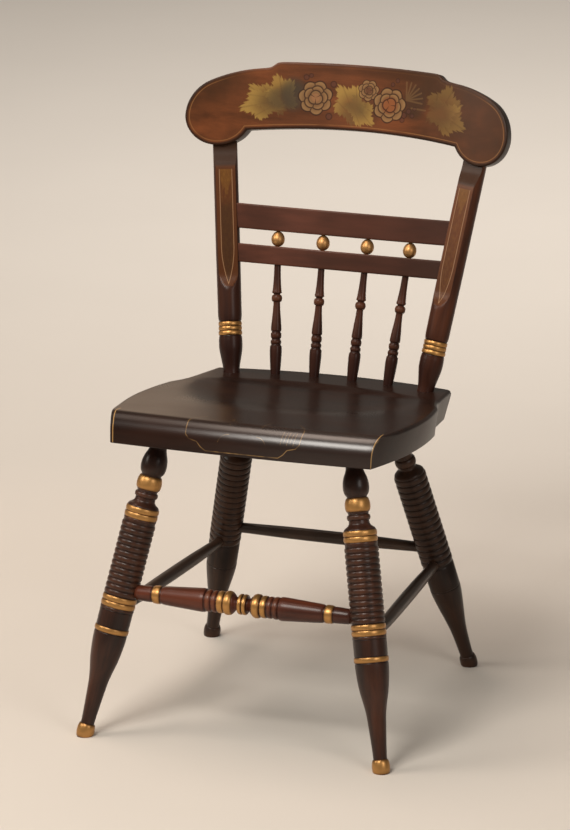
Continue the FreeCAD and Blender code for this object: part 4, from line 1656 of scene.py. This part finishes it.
@dataclass
class Stencil:
    """Leaves, two roses, a bud and berries in bronze powders over the crest, with its border.

    The ground darkens towards the right and at the left end, and patches of tarnish lie among the leaves.
    """

    darker_ground: Triple = (0.050, 0.021, 0.009)
    tarnish: Triple = (0.030, 0.020, 0.012)
    green_tarnish: Triple = (0.046, 0.038, 0.026)
    right_patches: tuple[Patch, ...] = (
        Patch(88.0, 414.0, 24.0, 30.0, 0.60),
        Patch(20.0, 404.0, 24.0, 32.0, 0.42),
    )
    left_patches: tuple[Patch, ...] = (
        Patch(-96.0, 414.0, 26.0, 30.0, 0.75),
        Patch(-116.0, 406.0, 22.0, 20.0, 0.35),
    )
    leaves: tuple[Leaf, ...] = (
        Leaf(-137.0, 406.0, 29.0, 20.0, 148.0, 2.1, 0.85),
        Leaf(-112.0, 412.0, 32.0, 24.0, 104.0, 0.4, 0.80),
        Leaf(-138.0, 397.0, 35.0, 24.0, 196.0, 1.1, 1.0),
        Leaf(-11.0, 406.0, 34.0, 26.0, 118.0, 0.2, 0.92),
        Leaf(6.0, 397.0, 29.0, 20.0, -46.0, 0.9, 0.85),
        Leaf(134.0, 411.0, 34.0, 30.0, 62.0, 0.3, 0.33),
        Leaf(141.0, 397.0, 36.0, 25.0, -28.0, 1.4, 0.40),
    )
    fan: Fan = Fan()
    bud: Rose = Rose(15.5, 428.0, 16.0, 15.5, 0.9, (0.10, 0.04, 0.02), 0.45)
    berries: tuple[Berry, ...] = (
        Berry(-79, 440, 4.4), Berry(-72, 443, 3.4), Berry(-38, 433, 5.0), Berry(-41, 386, 5.2),
        Berry(52, 439, 3.4), Berry(59, 445, 3.6), Berry(73, 396, 5.0), Berry(80, 402, 4.4),
        Berry(71, 389, 4.0), Berry(86, 396, 3.6), Berry(89, 406, 3.2),
    )
    roses: tuple[Rose, ...] = (
        Rose(-63.0, 411.5, 25.5, 25.0, 0.3, (0.26, 0.125, 0.055), 0.34),
        Rose(49.5, 409.0, 25.5, 25.5, 1.2, (0.22, 0.070, 0.024), 0.58),
    )
    border: Border = Border()

    def dress(self, shade: Shade, colour: Span) -> Span:
        """Draws the whole ornament.

        Args:
            shade: The material.
            colour: The paint under it.

        Returns:
            The colour with the ornament on it.
        """
        x, _, up = shade.place().parts()
        sheet = Sheet(shade, x / MM, up / MM, shade.mark("front").ramp(0.4, 0.9))
        powder = shade.noise(shade.place(), 24.0, 3.0)
        colour = shade.mix(self.age(sheet) + (powder - 0.48) * 1.2, colour, self.darker_ground)
        colour = self.tarnished(sheet, colour, self.right_patches, self.tarnish)
        for leaf in self.leaves:
            colour = leaf.draw(sheet, colour)
        colour = self.tarnished(sheet, colour, self.left_patches, self.green_tarnish)
        for motif in (self.fan, self.bud, *self.berries, *self.roses):
            colour = motif.draw(sheet, colour)
        return self.border.draw(sheet, colour, powder)

    @staticmethod
    def age(sheet: Sheet) -> Number:
        """How much darker the ground goes: most at the right, and somewhat less at the left end.

        Args:
            sheet: The crest.

        Returns:
            The share, from 0 to 1.
        """
        x, up = sheet.x, sheet.up
        upper_right = (x - 5.0).ramp(0.0, 110.0) * (up - 390.0).ramp(-30.0, 40.0) * 0.85
        left = (-180.0 - x).ramp(-40.0, 20.0) * (up - 385.0).ramp(-20.0, 30.0) * 0.75
        return upper_right.most(left).most((x - 60.0).ramp(0.0, 90.0) * 0.72)

    @staticmethod
    def tarnished(sheet: Sheet, colour: Span, patches: Sequence[Patch], tone: Triple) -> Span:
        """Lays patches of tarnish on the crest's front.

        Args:
            sheet: The crest.
            colour: The colour so far.
            patches: The patches.
            tone: Their colour.

        Returns:
            The colour with the patches on it.
        """
        first, *others = [patch.depth(sheet) for patch in patches]
        for other in others:
            first = first.most(other)
        return sheet.shade.mix(first * sheet.front, colour, tone)


# Back
@dataclass(frozen=True)
class Planing:
    """The flat planed on a stile's front, and the scoop at its top."""

    uncut: float = 17.9
    start: float = 126.0
    run_in: float = 22.0
    cut: float = 7.0
    scoop_start: float = 300.0
    scoop_run: float = 31.0
    scoop_cut: float = 6.7

    def face(self, up: float) -> float:
        """How far in front of a stile's axis the flat lies at a height.

        Args:
            up: The height.

        Returns:
            The distance.
        """
        planed = math.sin(covered(up, self.start, self.run_in) * math.pi / 2)
        scooped = eased(covered(up, self.scoop_start, self.scoop_run))
        return self.uncut - self.cut * planed - self.scoop_cut * scooped


@dataclass(frozen=True)
class Bow:
    """An arc seen from above: half the distance between its ends, and how far it lies behind them."""

    half: float
    rise: float

    def behind(self, x: float) -> float:
        """How far the bow lies behind its ends at a distance from its middle."""
        radius = (self.half * self.half + self.rise * self.rise) / (2 * self.rise)
        return math.sqrt(radius * radius - x * x) - radius + self.rise


@dataclass
class Back:
    """Stiles, bowed rails, spindles and balls, and the crest that caps them."""

    seat: Seat
    inset: float = 54.15
    sink: float = 5.17
    height: float = 463.5
    rake: float = 127.0
    stile_foot: float = 147.2
    stile_turn: float = 17.0
    stile_top: float = 189.5
    stile_radius: float = 17.8
    shaft: range = range(86, 346, 4)
    shaft_taper: float = 0.6
    taper_foot: float = 80.0
    taper_run: float = 100.0
    planing: Planing = Planing()
    flat_steps: int = 30
    round_steps: int = 46
    least_flat: float = math.radians(50)
    stile_crease: float = 30.0
    cope_gap: float = 0.6
    crest_foot: float = 331.0
    crest_height: float = 132.5
    crest_half: float = 244.0
    crest_thickness: float = 24.0
    crest_bow: float = 51.0
    crest_arris: float = 2.6
    crest_arch: float = 12.0
    crest_crown: float = 4.8
    lobe_dip: float = 0.060
    end_dip: float = 0.093
    step_rise: float = 0.034
    shoulder_rise: float = 0.060
    crest_smoothing: int = 3
    rail_bow: float = 23.0
    rail_thickness: float = 17.0
    rail_arris: float = 2.2
    rail_tenon: float = 15.0
    rail_steps: int = 48
    rails: tuple[Point, ...] = ((165.3, 27.0), (214.3, 36.0))
    arris_steps: int = 6
    border_steps: tuple[float, ...] = (1.2, 2.4, 3.6, 5.0, 7.0)
    face_inset: float = 20.0
    face_rows: int = 14
    board_crease: float = 32.0
    spindle_shares: tuple[float, ...] = (-0.58, -0.195, 0.195, 0.58)
    spindle_sides: int = 48
    ball_radius: float = 9.9
    ball_neck: float = 2.6
    ball_end: float = 0.09
    ball_full: float = 0.985
    ball_lean: float = 0.07
    ball_gap: float = 0.2
    ball_dowel: float = 3.0
    ball_steps: int = 28
    ball_worn: float = 0.7
    paint: Paint = Paint(
        "back_paint", (0.105, 0.034, 0.016), (0.030, 0.012, 0.008), streak=(60.0, 60.0, 7.0), shine=0.12,
        coat=0.05)
    left_paint: Paint = replace(
        paint, name="left_stile_paint", ground=(0.060, 0.022, 0.012), shade=(0.026, 0.011, 0.008))
    right_paint: Paint = replace(paint, name="right_stile_paint")
    rail_paint: Paint = replace(
        paint, name="rail_paint", ground=(0.104, 0.036, 0.022), shade=(0.050, 0.020, 0.013),
        streak=(4.0, 40.0, 40.0))
    crest_paint: Paint = Paint(
        "crest_paint", (0.162, 0.050, 0.017), (0.066, 0.023, 0.009), streak=(4.0, 50.0, 50.0), shine=0.12,
        coat=0.05)
    ball_paint: Paint = Paint(
        "ball_paint", (0.3, 0.15, 0.04), (0.2, 0.1, 0.03), gold=(0.50, 0.27, 0.10),
        gold_dark=(0.30, 0.14, 0.045), streak=(18.0, 18.0, 18.0), rough=0.40, texture=0.02)
    left_tarnish: float = 0.62

    def frame(self) -> Matrix:
        """The back's directions: across, square behind it, and up along it."""
        foot = at(self.seat.frame(), 0, self.seat.depth - self.inset, -self.sink)
        return tipped_frame(tuple(foot), self.rake / self.height)

    def stile_x(self, up: float) -> float:
        """Half the distance between the stiles at a height up the back."""
        return self.stile_foot + (self.stile_top - self.stile_foot) * up / self.crest_foot

    def stile(self) -> Profile:
        """A stile as it comes off the lathe, from its foot to the crest.

        Returns:
            Its outline.
        """
        outline = Profile(-26.0, 12.0).line(2.0, 12.0)
        outline.flow([(12, 12.3), (24, 14.4), (38, 16.8), (50, 17.1), (56.4, 16.7)], 5)
        outline.bead(58.4, 16.2, -0.5, 0, 4).bead(65.0, 15.8, 1.2, 1.0).bead(71.6, 15.8, 1.2, 1.0)
        outline.bead(78.2, 15.8, 1.2, 1.0).bead(80.0, 16.6, -0.4, 0, 4)
        for up in self.shaft:
            thin = self.shaft_taper * (1 - covered(up, self.taper_foot, self.taper_run))
            outline.line(up, self.stile_radius - thin)
        return outline

    def build_stile(self, hand: Hand) -> bpy.types.Object:
        """Makes one stile: turned, then planed in front and coped to the crest.

        Args:
            hand: Its side of the chair.

        Returns:
            The piece.
        """
        back, side = self.frame(), hand.value
        foot = at(back, side * self.stile_foot, 0, 0)
        top = at(back, side * self.stile_top, 0, self.crest_foot)
        up = (top - foot).normalized()
        behind = (back.to_3x3() @ Vector((0, 1, 0))).normalized()
        across = behind.cross(up).normalized()
        matrix = Matrix((across, behind, up)).transposed().to_4x4()
        matrix.translation = foot * MM
        matrix @= Matrix.Rotation(math.radians(-side * self.stile_turn), 4, "Z")
        shell = Shell()
        stations = self.stile().stations
        rows = [self.planed_row(shell, one) for one in stations]
        shell.skin(rows)
        shell.cap(rows[0], (0, 0, stations[0].height), True, gilt=0.0, worn=HALF_WORN)
        shell.cap(rows[-1], (0, 0, stations[-1].height), False, gilt=0.0, worn=HALF_WORN)
        to_back = back.inverted() @ matrix
        to_stile = to_back.inverted()
        outline = self.crest_lower()
        shell.points = [self.coped(point, to_back, to_stile, outline) for point in shell.points]
        return shell.piece(f"stile_{hand.word}_planed", matrix, self.stile_crease)

    def planed_row(self, shell: Shell, one: Station) -> list[int]:
        """A row of points round a stile, cut off flat in front.

        Args:
            shell: The stile's mesh.
            one: The station on the turned outline.

        Returns:
            The row.
        """
        flat, radius = self.planing.face(one.height), one.radius
        edge = max(math.acos(min(flat / radius, 1.0)), self.least_flat)
        turns = [edge * (2 * step / self.flat_steps - 1) for step in range(self.flat_steps)]
        left = 2 * (math.pi - edge)
        turns += [edge + left * step / self.round_steps for step in range(self.round_steps)]
        ring = [(radius * math.sin(turn), max(-radius * math.cos(turn), -flat), one.height) for turn in turns]
        front = [float(flat < radius and -y > flat - TOUCHING) for _, y, _ in ring]
        return shell.row(ring, gilt=one.gilt, worn=one.worn, front=front)

    def coped(self, point: Triple, to_back: Matrix, to_stile: Matrix, outline: Sequence[Point]) -> Triple:
        """Draws a point down to the crest's lower edge where it would reach above it.

        Args:
            point: The point in the stile's directions.
            to_back: From the stile's directions to the back's.
            to_stile: The other way.
            outline: The crest's lower edge, from left to right.

        Returns:
            The point.
        """
        place = to_back @ (Vector(point) * MM) / MM
        limit = math.inf
        for (x0, z0), (x1, z1) in zip(outline, outline[1:]):
            if x0 <= place.x <= x1 and x1 > x0:
                limit = z0 + (z1 - z0) * (place.x - x0) / (x1 - x0) + self.cope_gap
        if place.z <= limit:
            return point
        place.z = limit
        return tuple(to_stile @ (place * MM) / MM)

    def crest_corners(self) -> list[Point]:
        """The crest's corners on the right, from the cusp round to the raised middle.

        Returns:
            The cusp, the lobe's lowest point, the end, the shoulder, the step's foot and its top.
        """
        half, height, foot = self.crest_half, self.crest_height, self.crest_foot
        shares = [(0.647, 0.192), (0.837, 0), (1, 0.325), (0.872, 0.709), (0.544, 0.891), (0.501, 0.964)]
        return [(half * x, foot + height * z) for x, z in shares]

    def crest_lower(self) -> list[Point]:
        """The crest's lower edge.

        Returns:
            Its points, from the left end to the right.
        """
        cusp, lobe, end = self.crest_corners()[:3]
        height = self.crest_height
        right = [cusp] + arc(cusp, lobe, -self.lobe_dip * height, 14)
        right += arc(lobe, end, -self.end_dip * height, 26)
        left = [(-x, z) for x, z in reversed(right)]
        return left + arc(left[-1], right[0], self.crest_arch, 60)[:-1] + right

    def crest_upper(self) -> list[Point]:
        """The crest's upper edge, with its corners smoothed.

        Returns:
            As many points as in the lower edge, from the left end to the right.
        """
        end, shoulder, step, top = self.crest_corners()[2:]
        height = self.crest_height
        right = [top] + arc(top, step, 0, 6)
        right += arc(step, shoulder, self.step_rise * height, 14)
        right += arc(shoulder, end, self.shoulder_rise * height, 20)
        left = [(-x, z) for x, z in reversed(right)]
        edge = left + arc(left[-1], right[0], self.crest_crown, 60)[:-1] + right
        for _ in range(self.crest_smoothing):
            between = [
                ((before[0] + 2 * x + after[0]) / 4, (before[1] + 2 * z + after[1]) / 4)
                for before, (x, z), after in zip(edge, edge[1:], edge[2:])
            ]
            edge = [edge[0], *between, edge[-1]]
        return edge

    def board(
        self, name: str, lower: Sequence[Point], upper: Sequence[Point], thickness: float,
        bend: Callable[[float], float], arris: float,
    ) -> bpy.types.Object:
        """Makes a bent board with rounded arrises from its lower and upper edges.

        Args:
            name: The piece's name.
            lower: The lower edge, from left to right.
            upper: The upper edge, as many points.
            thickness: The board's thickness.
            bend: How far behind the back's plane its middle lies, by the distance across.
            arris: The radius of its rounded edges.

        Returns:
            The piece.
        """
        closed = math.dist(lower[0], upper[0]) < TOUCHING
        loop = list(lower) + list(reversed(upper[1:-1] if closed else upper))
        half = thickness / 2
        shell = Shell()
        outer: list[list[int]] = []
        for side in (-1, 1):
            front = float(side < 0)
            rings = []
            for step in reversed(range(self.arris_steps + 1)):
                turn = math.pi / 2 * step / self.arris_steps
                inward, depth = arris * (1 - math.sin(turn)), half - arris * (1 - math.cos(turn))
                ring = [(x, bend(x) + side * depth, z) for x, z in offset(loop, inward)]
                worn = HALF_WORN + (1 - HALF_WORN) * math.sin(2 * turn)
                rings.append(shell.row(ring, inset=inward, front=front, worn=worn))
            for beyond in self.border_steps:
                ring = [(x, bend(x) + side * half, z) for x, z in offset(loop, arris + beyond)]
                rings.append(shell.row(ring, inset=arris + beyond, front=front, worn=HALF_WORN))
            shell.skin(rings)
            inner, count = rings[-1], len(lower)
            first, second = list(inner[:count]), list(reversed(inner[count:]))
            if closed:
                second = [inner[0], *second, inner[count - 1]]
            self.fill_face(shell, first, second, bend, side * half, front)
            outer.append(rings[0])
        shell.join(*outer)
        return shell.piece(name, self.frame(), self.board_crease)

    def fill_face(
        self, shell: Shell, lower: Sequence[int], upper: Sequence[int], bend: Callable[[float], float],
        depth: float, front: float,
    ) -> None:
        """Fills a face of a board with rows between its lower and upper edges.

        Args:
            shell: The board.
            lower: Points of the lower edge.
            upper: Points of the upper edge, one over each.
            bend: The board's bend.
            depth: The face's place before or behind the middle.
            front: 1 on the face that looks forward.
        """
        previous = list(lower)
        for step in range(1, self.face_rows + 1):
            row = []
            for low, high in zip(lower, upper):
                if low == high or step == self.face_rows:
                    row.append(high)
                    continue
                place = Vector(shell.points[low]).lerp(Vector(shell.points[high]), step / self.face_rows)
                point = (place.x, bend(place.x) + depth, place.z)
                row += shell.row([point], inset=self.face_inset, front=front)
            for index in range(len(row) - 1):
                corners = (previous[index], previous[index + 1], row[index + 1], row[index])
                face = tuple(dict.fromkeys(corners))
                if len(face) > 2:
                    shell.faces.append(face)
            previous = row

    @staticmethod
    def spindle(length: float) -> Profile:
        """A spindle between the seat and the lower rail.

        Args:
            length: The distance between them.

        Returns:
            Its outline.
        """
        outline = Profile(-18.0, 6.5).line(3.0, 6.5)
        outline.flow([(14, 7.4), (28, 8.3), (42, 8.8), (48, 8.5)], 5)
        outline.bead(51.4, 6.9, -0.5, 0, 5).bead(57.0, 6.9, 0.9, 0, 6).bead(59.6, 6.6, -0.5, 0, 5)
        outline.bead(67.8, 6.8, 1.1, 0, 8).bead(69.8, 6.6, -0.3, 0, 4)
        outline.line(71.2, 7.7).flow([(84, 6.9), (98, 5.6), (110, 4.9), (112.4, 5.0)], 5)
        outline.bead(122.8, 5.0, 2.7, 0, 14).bead(124.6, 5.4, -0.4, 0, 4)
        return outline.line(125.8, 7.0).flow([(131, 6.3), (145, 5.3), (158, 4.9), (length + 4, 4.8)], 5)

    def ball(self, height: float) -> Profile:
        """A gilded ball between the rails, fuller below, on a slim neck at either end.

        Args:
            height: The distance between the rails.

        Returns:
            Its outline.
        """
        neck, wide, gap = self.ball_neck, self.ball_radius, self.ball_gap
        outline = Profile(-self.ball_dowel, neck).line(-gap, neck)
        for step in range(self.ball_steps + 1):
            turn = math.pi * (self.ball_end + (1 - 2 * self.ball_end) * step / self.ball_steps)
            share = 0.5 - 0.5 * math.cos(turn) / math.cos(math.pi * self.ball_end)
            radius = wide * math.sin(turn) * (self.ball_full + self.ball_lean * math.cos(turn))
            place = gap + (height - 2 * gap) * share
            outline.stations.append(Station(place, min(max(radius, neck), wide), 1.0, self.ball_worn))
        return outline.line(height + self.ball_dowel, neck)

    def build(self) -> list[bpy.types.Object]:
        """Makes the back.

        Returns:
            The pieces.
        """
        left = self.left_paint.material(Panel(self.left_tarnish).dress)
        right = self.right_paint.material(Panel().dress)
        pieces = []
        for hand, paint in ((Hand.LEFT, left), (Hand.RIGHT, right)):
            pieces.append(fitted(self.build_stile(hand), paint, "back_paint", f"stile_{hand.word}"))
        return pieces + self.build_rails() + [self.build_crest()] + self.build_turnings()

    def rail_bend(self, number: int) -> Bow:
        """A rail's bow between the ends of its tenons, for the lower rail (0) or the upper (1)."""
        rise, height = self.rails[number]
        return Bow(self.stile_x(rise + height / 2) - self.stile_radius + self.rail_tenon, self.rail_bow)

    def build_rails(self) -> list[bpy.types.Object]:
        """Makes the two bent rails.

        Returns:
            The pieces.
        """
        paint = self.rail_paint.material(RIGHT_FADE.dress)
        pieces = []
        for number, name in enumerate(("lower", "upper")):
            (rise, height), bow = self.rails[number], self.rail_bend(number)
            across = [bow.half * (2 * step / self.rail_steps - 1) for step in range(self.rail_steps + 1)]
            lower, upper = [(x, rise) for x in across], [(x, rise + height) for x in across]
            board = self.board(
                f"{name}_back_rail_bent", lower, upper, self.rail_thickness, bow.behind, self.rail_arris)
            pieces.append(fitted(board, paint, "back_paint", f"{name}_back_rail"))
        return pieces

    def crest_bend(self, x: float) -> float:
        """How far the crest's middle lies behind the stiles at a distance across."""
        bow = Bow(self.crest_half, self.crest_bow)
        return bow.behind(min(abs(x), self.crest_half)) - bow.behind(self.stile_top)

    def build_crest(self) -> bpy.types.Object:
        """Makes the crest rail, with its stencil.

        Returns:
            The piece.
        """
        crest = self.board(
            "crest_rail_bent", self.crest_lower(), self.crest_upper(), self.crest_thickness, self.crest_bend,
            self.crest_arris)
        return fitted(crest, self.crest_paint.material(Stencil().dress), "back_paint", "crest_rail")

    def middle(self, bow: Bow, half: float, share: float, up: float) -> Vector:
        """The point where a turning's axis meets the seat or a rail.

        Args:
            bow: Its bow.
            half: Half the distance between the stiles there.
            share: The turning's place, as a share of that half.
            up: The height up the back.

        Returns:
            The point.
        """
        return at(self.frame(), half * share, bow.behind(half * share), up)

    def build_turnings(self) -> list[bpy.types.Object]:
        """Makes the spindles and the balls over them.

        Returns:
            The pieces.
        """
        paint, gilding = self.paint.material(FOOT_FADE.dress), self.ball_paint.material()
        (low, low_height), (high, _) = self.rails
        over_low, seat = low + low_height, Bow(self.stile_foot, self.rail_bow)
        lower, upper = self.rail_bend(0), self.rail_bend(1)
        pieces = []
        for number, share in enumerate(self.spindle_shares, start=1):
            foot = self.middle(seat, self.stile_foot, share, 0)
            rail = self.middle(lower, self.stile_x(low), share, low)
            turning = self.spindle((rail - foot).length).lathe(
                f"back_spindle_{number}_turned", axis_frame(foot, rail), self.spindle_sides)
            pieces.append(fitted(turning, paint, "back_paint", f"back_spindle_{number}"))
            under = self.middle(lower, self.stile_x(over_low), share, over_low)
            over = self.middle(upper, self.stile_x(high), share, high)
            ball = self.ball((over - under).length).lathe(
                f"back_ball_{number}_turned", axis_frame(under, over), self.spindle_sides)
            pieces.append(fitted(ball, gilding, "back_paint", f"back_ball_{number}"))
        return pieces


# Room
@dataclass(frozen=True)
class Lamp:
    """A square lamp, with its place and aim in millimetres, its size in metres and its power in watts."""

    name: str
    place: Triple
    size: float
    power: float
    colour: Triple
    aim: Triple = (0.0, 0.0, 450.0)

    def hang(self) -> None:
        """Puts the lamp in the scene, out of the camera's sight."""
        data = bpy.data.lights.new(self.name, "AREA")
        data.energy = self.power
        data.size = self.size
        data.color = self.colour
        lamp = bpy.data.objects.new(self.name, data)
        lamp.visible_camera = False
        turn = (Vector(self.aim) - Vector(self.place)).to_track_quat("-Z", "Y").to_matrix().to_4x4()
        lamp.matrix_world = Matrix.Translation(Vector(self.place) * MM) @ turn
        bpy.context.scene.collection.objects.link(lamp)


@dataclass
class Room:
    """The camera, the pale floor and the soft studio light."""

    azimuth: float = 19.54
    elevation: float = 16.49
    eye: Triple = (2186.0, -6217.5, 2364.0)
    focal: float = 4840.0
    sensor: float = 36.0
    farthest: float = 60.0
    floor_half: float = 9000.0
    floor_colour: Triple = (0.64, 0.595, 0.54)
    floor_shade: float = 0.96
    floor_rough: float = 0.8
    air: Triple = (1.0, 0.90, 0.78)
    air_strength: float = 0.18
    lamps: tuple[Lamp, ...] = (
        Lamp("key", (-700, -2700, 3500), 1.5, 116.0, (1.0, 0.95, 0.88)),
        Lamp("ceiling", (-750, 90, 2900), 1.35, 30.0, (1.0, 0.82, 0.70)),
        Lamp("side", (-2800, -1500, 2300), 1.4, 42.0, (1.0, 0.93, 0.84)),
        Lamp("fill", (2700, -1900, 1900), 1.4, 28.0, (1.0, 0.95, 0.90)),
        Lamp("sheen", (-640, 800, 725), 0.42, 0.58, (1.0, 0.72, 0.50), (-190, -40, 450)),
        Lamp("backdrop", (-300, 2600, 3300), 2.5, 130.0, (1.0, 0.96, 0.92), (-900, 6500, 0)),
    )

    def build(self) -> None:
        """Makes the room."""
        self.build_camera()
        self.build_floor()
        self.build_lights()

    def build_camera(self) -> None:
        """Makes the camera, at the viewing angle and distance of the chair's picture."""
        turn, tilt = math.radians(self.azimuth), math.radians(self.elevation)
        back = Vector((math.sin(turn) * math.cos(tilt), -math.cos(turn) * math.cos(tilt), math.sin(tilt)))
        right = Vector((math.cos(turn), math.sin(turn), 0))
        matrix = Matrix((right, back.cross(right), back)).transposed().to_4x4()
        matrix.translation = Vector(self.eye) * MM
        data = bpy.data.cameras.new("camera")
        data.sensor_fit = "HORIZONTAL"
        data.sensor_width = self.sensor
        data.lens = self.focal / IMAGE_WIDTH * self.sensor
        data.clip_end = self.farthest
        camera = bpy.data.objects.new("camera", data)
        camera.matrix_world = matrix
        bpy.context.scene.collection.objects.link(camera)
        bpy.context.scene.camera = camera

    def build_floor(self) -> None:
        """Lays the floor."""
        half = self.floor_half
        shell = Shell()
        corners = [(-half, -half, 0), (half, -half, 0), (half, half, 0), (-half, half, 0)]
        shell.faces.append(tuple(shell.row(corners)))
        floor = shell.piece("floor", Matrix.Identity(4))
        shade = Shade("floor_paint")
        tone = shade.noise(shade.place(), 3.0, 4.0)
        darker = tuple(value * self.floor_shade for value in self.floor_colour)
        shade.surface("Base Color", shade.mix(tone, darker, self.floor_colour))
        shade.surface("Roughness", self.floor_rough)
        floor.data.materials.append(shade.material)

    def build_lights(self) -> None:
        """Hangs the lamps and sets the world's light."""
        world = bpy.data.worlds.new("studio")
        world.use_nodes = True
        bpy.context.scene.world = world
        background = world.node_tree.nodes["Background"]
        background.inputs["Color"].default_value = (*self.air, 1.0)
        background.inputs["Strength"].default_value = self.air_strength
        for lamp in self.lamps:
            lamp.hang()


def plain(bounds: Iterable[Iterable[float]]) -> list[list[float]]:
    """A box as plain lists of numbers."""
    return [[float(value) for value in corner] for corner in bounds]


def main() -> None:
    """Builds the chair and its room."""
    logging.basicConfig(level=logging.INFO, format="%(message)s")
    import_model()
    bpy.context.scene.view_settings.view_transform = "Standard"
    Room().build()
    seat = Seat()
    pieces = Underframe().build() + seat.build() + Back(seat).build()
    LOG.info("%d pieces", len(pieces))


if __name__ == "__main__":
    main()
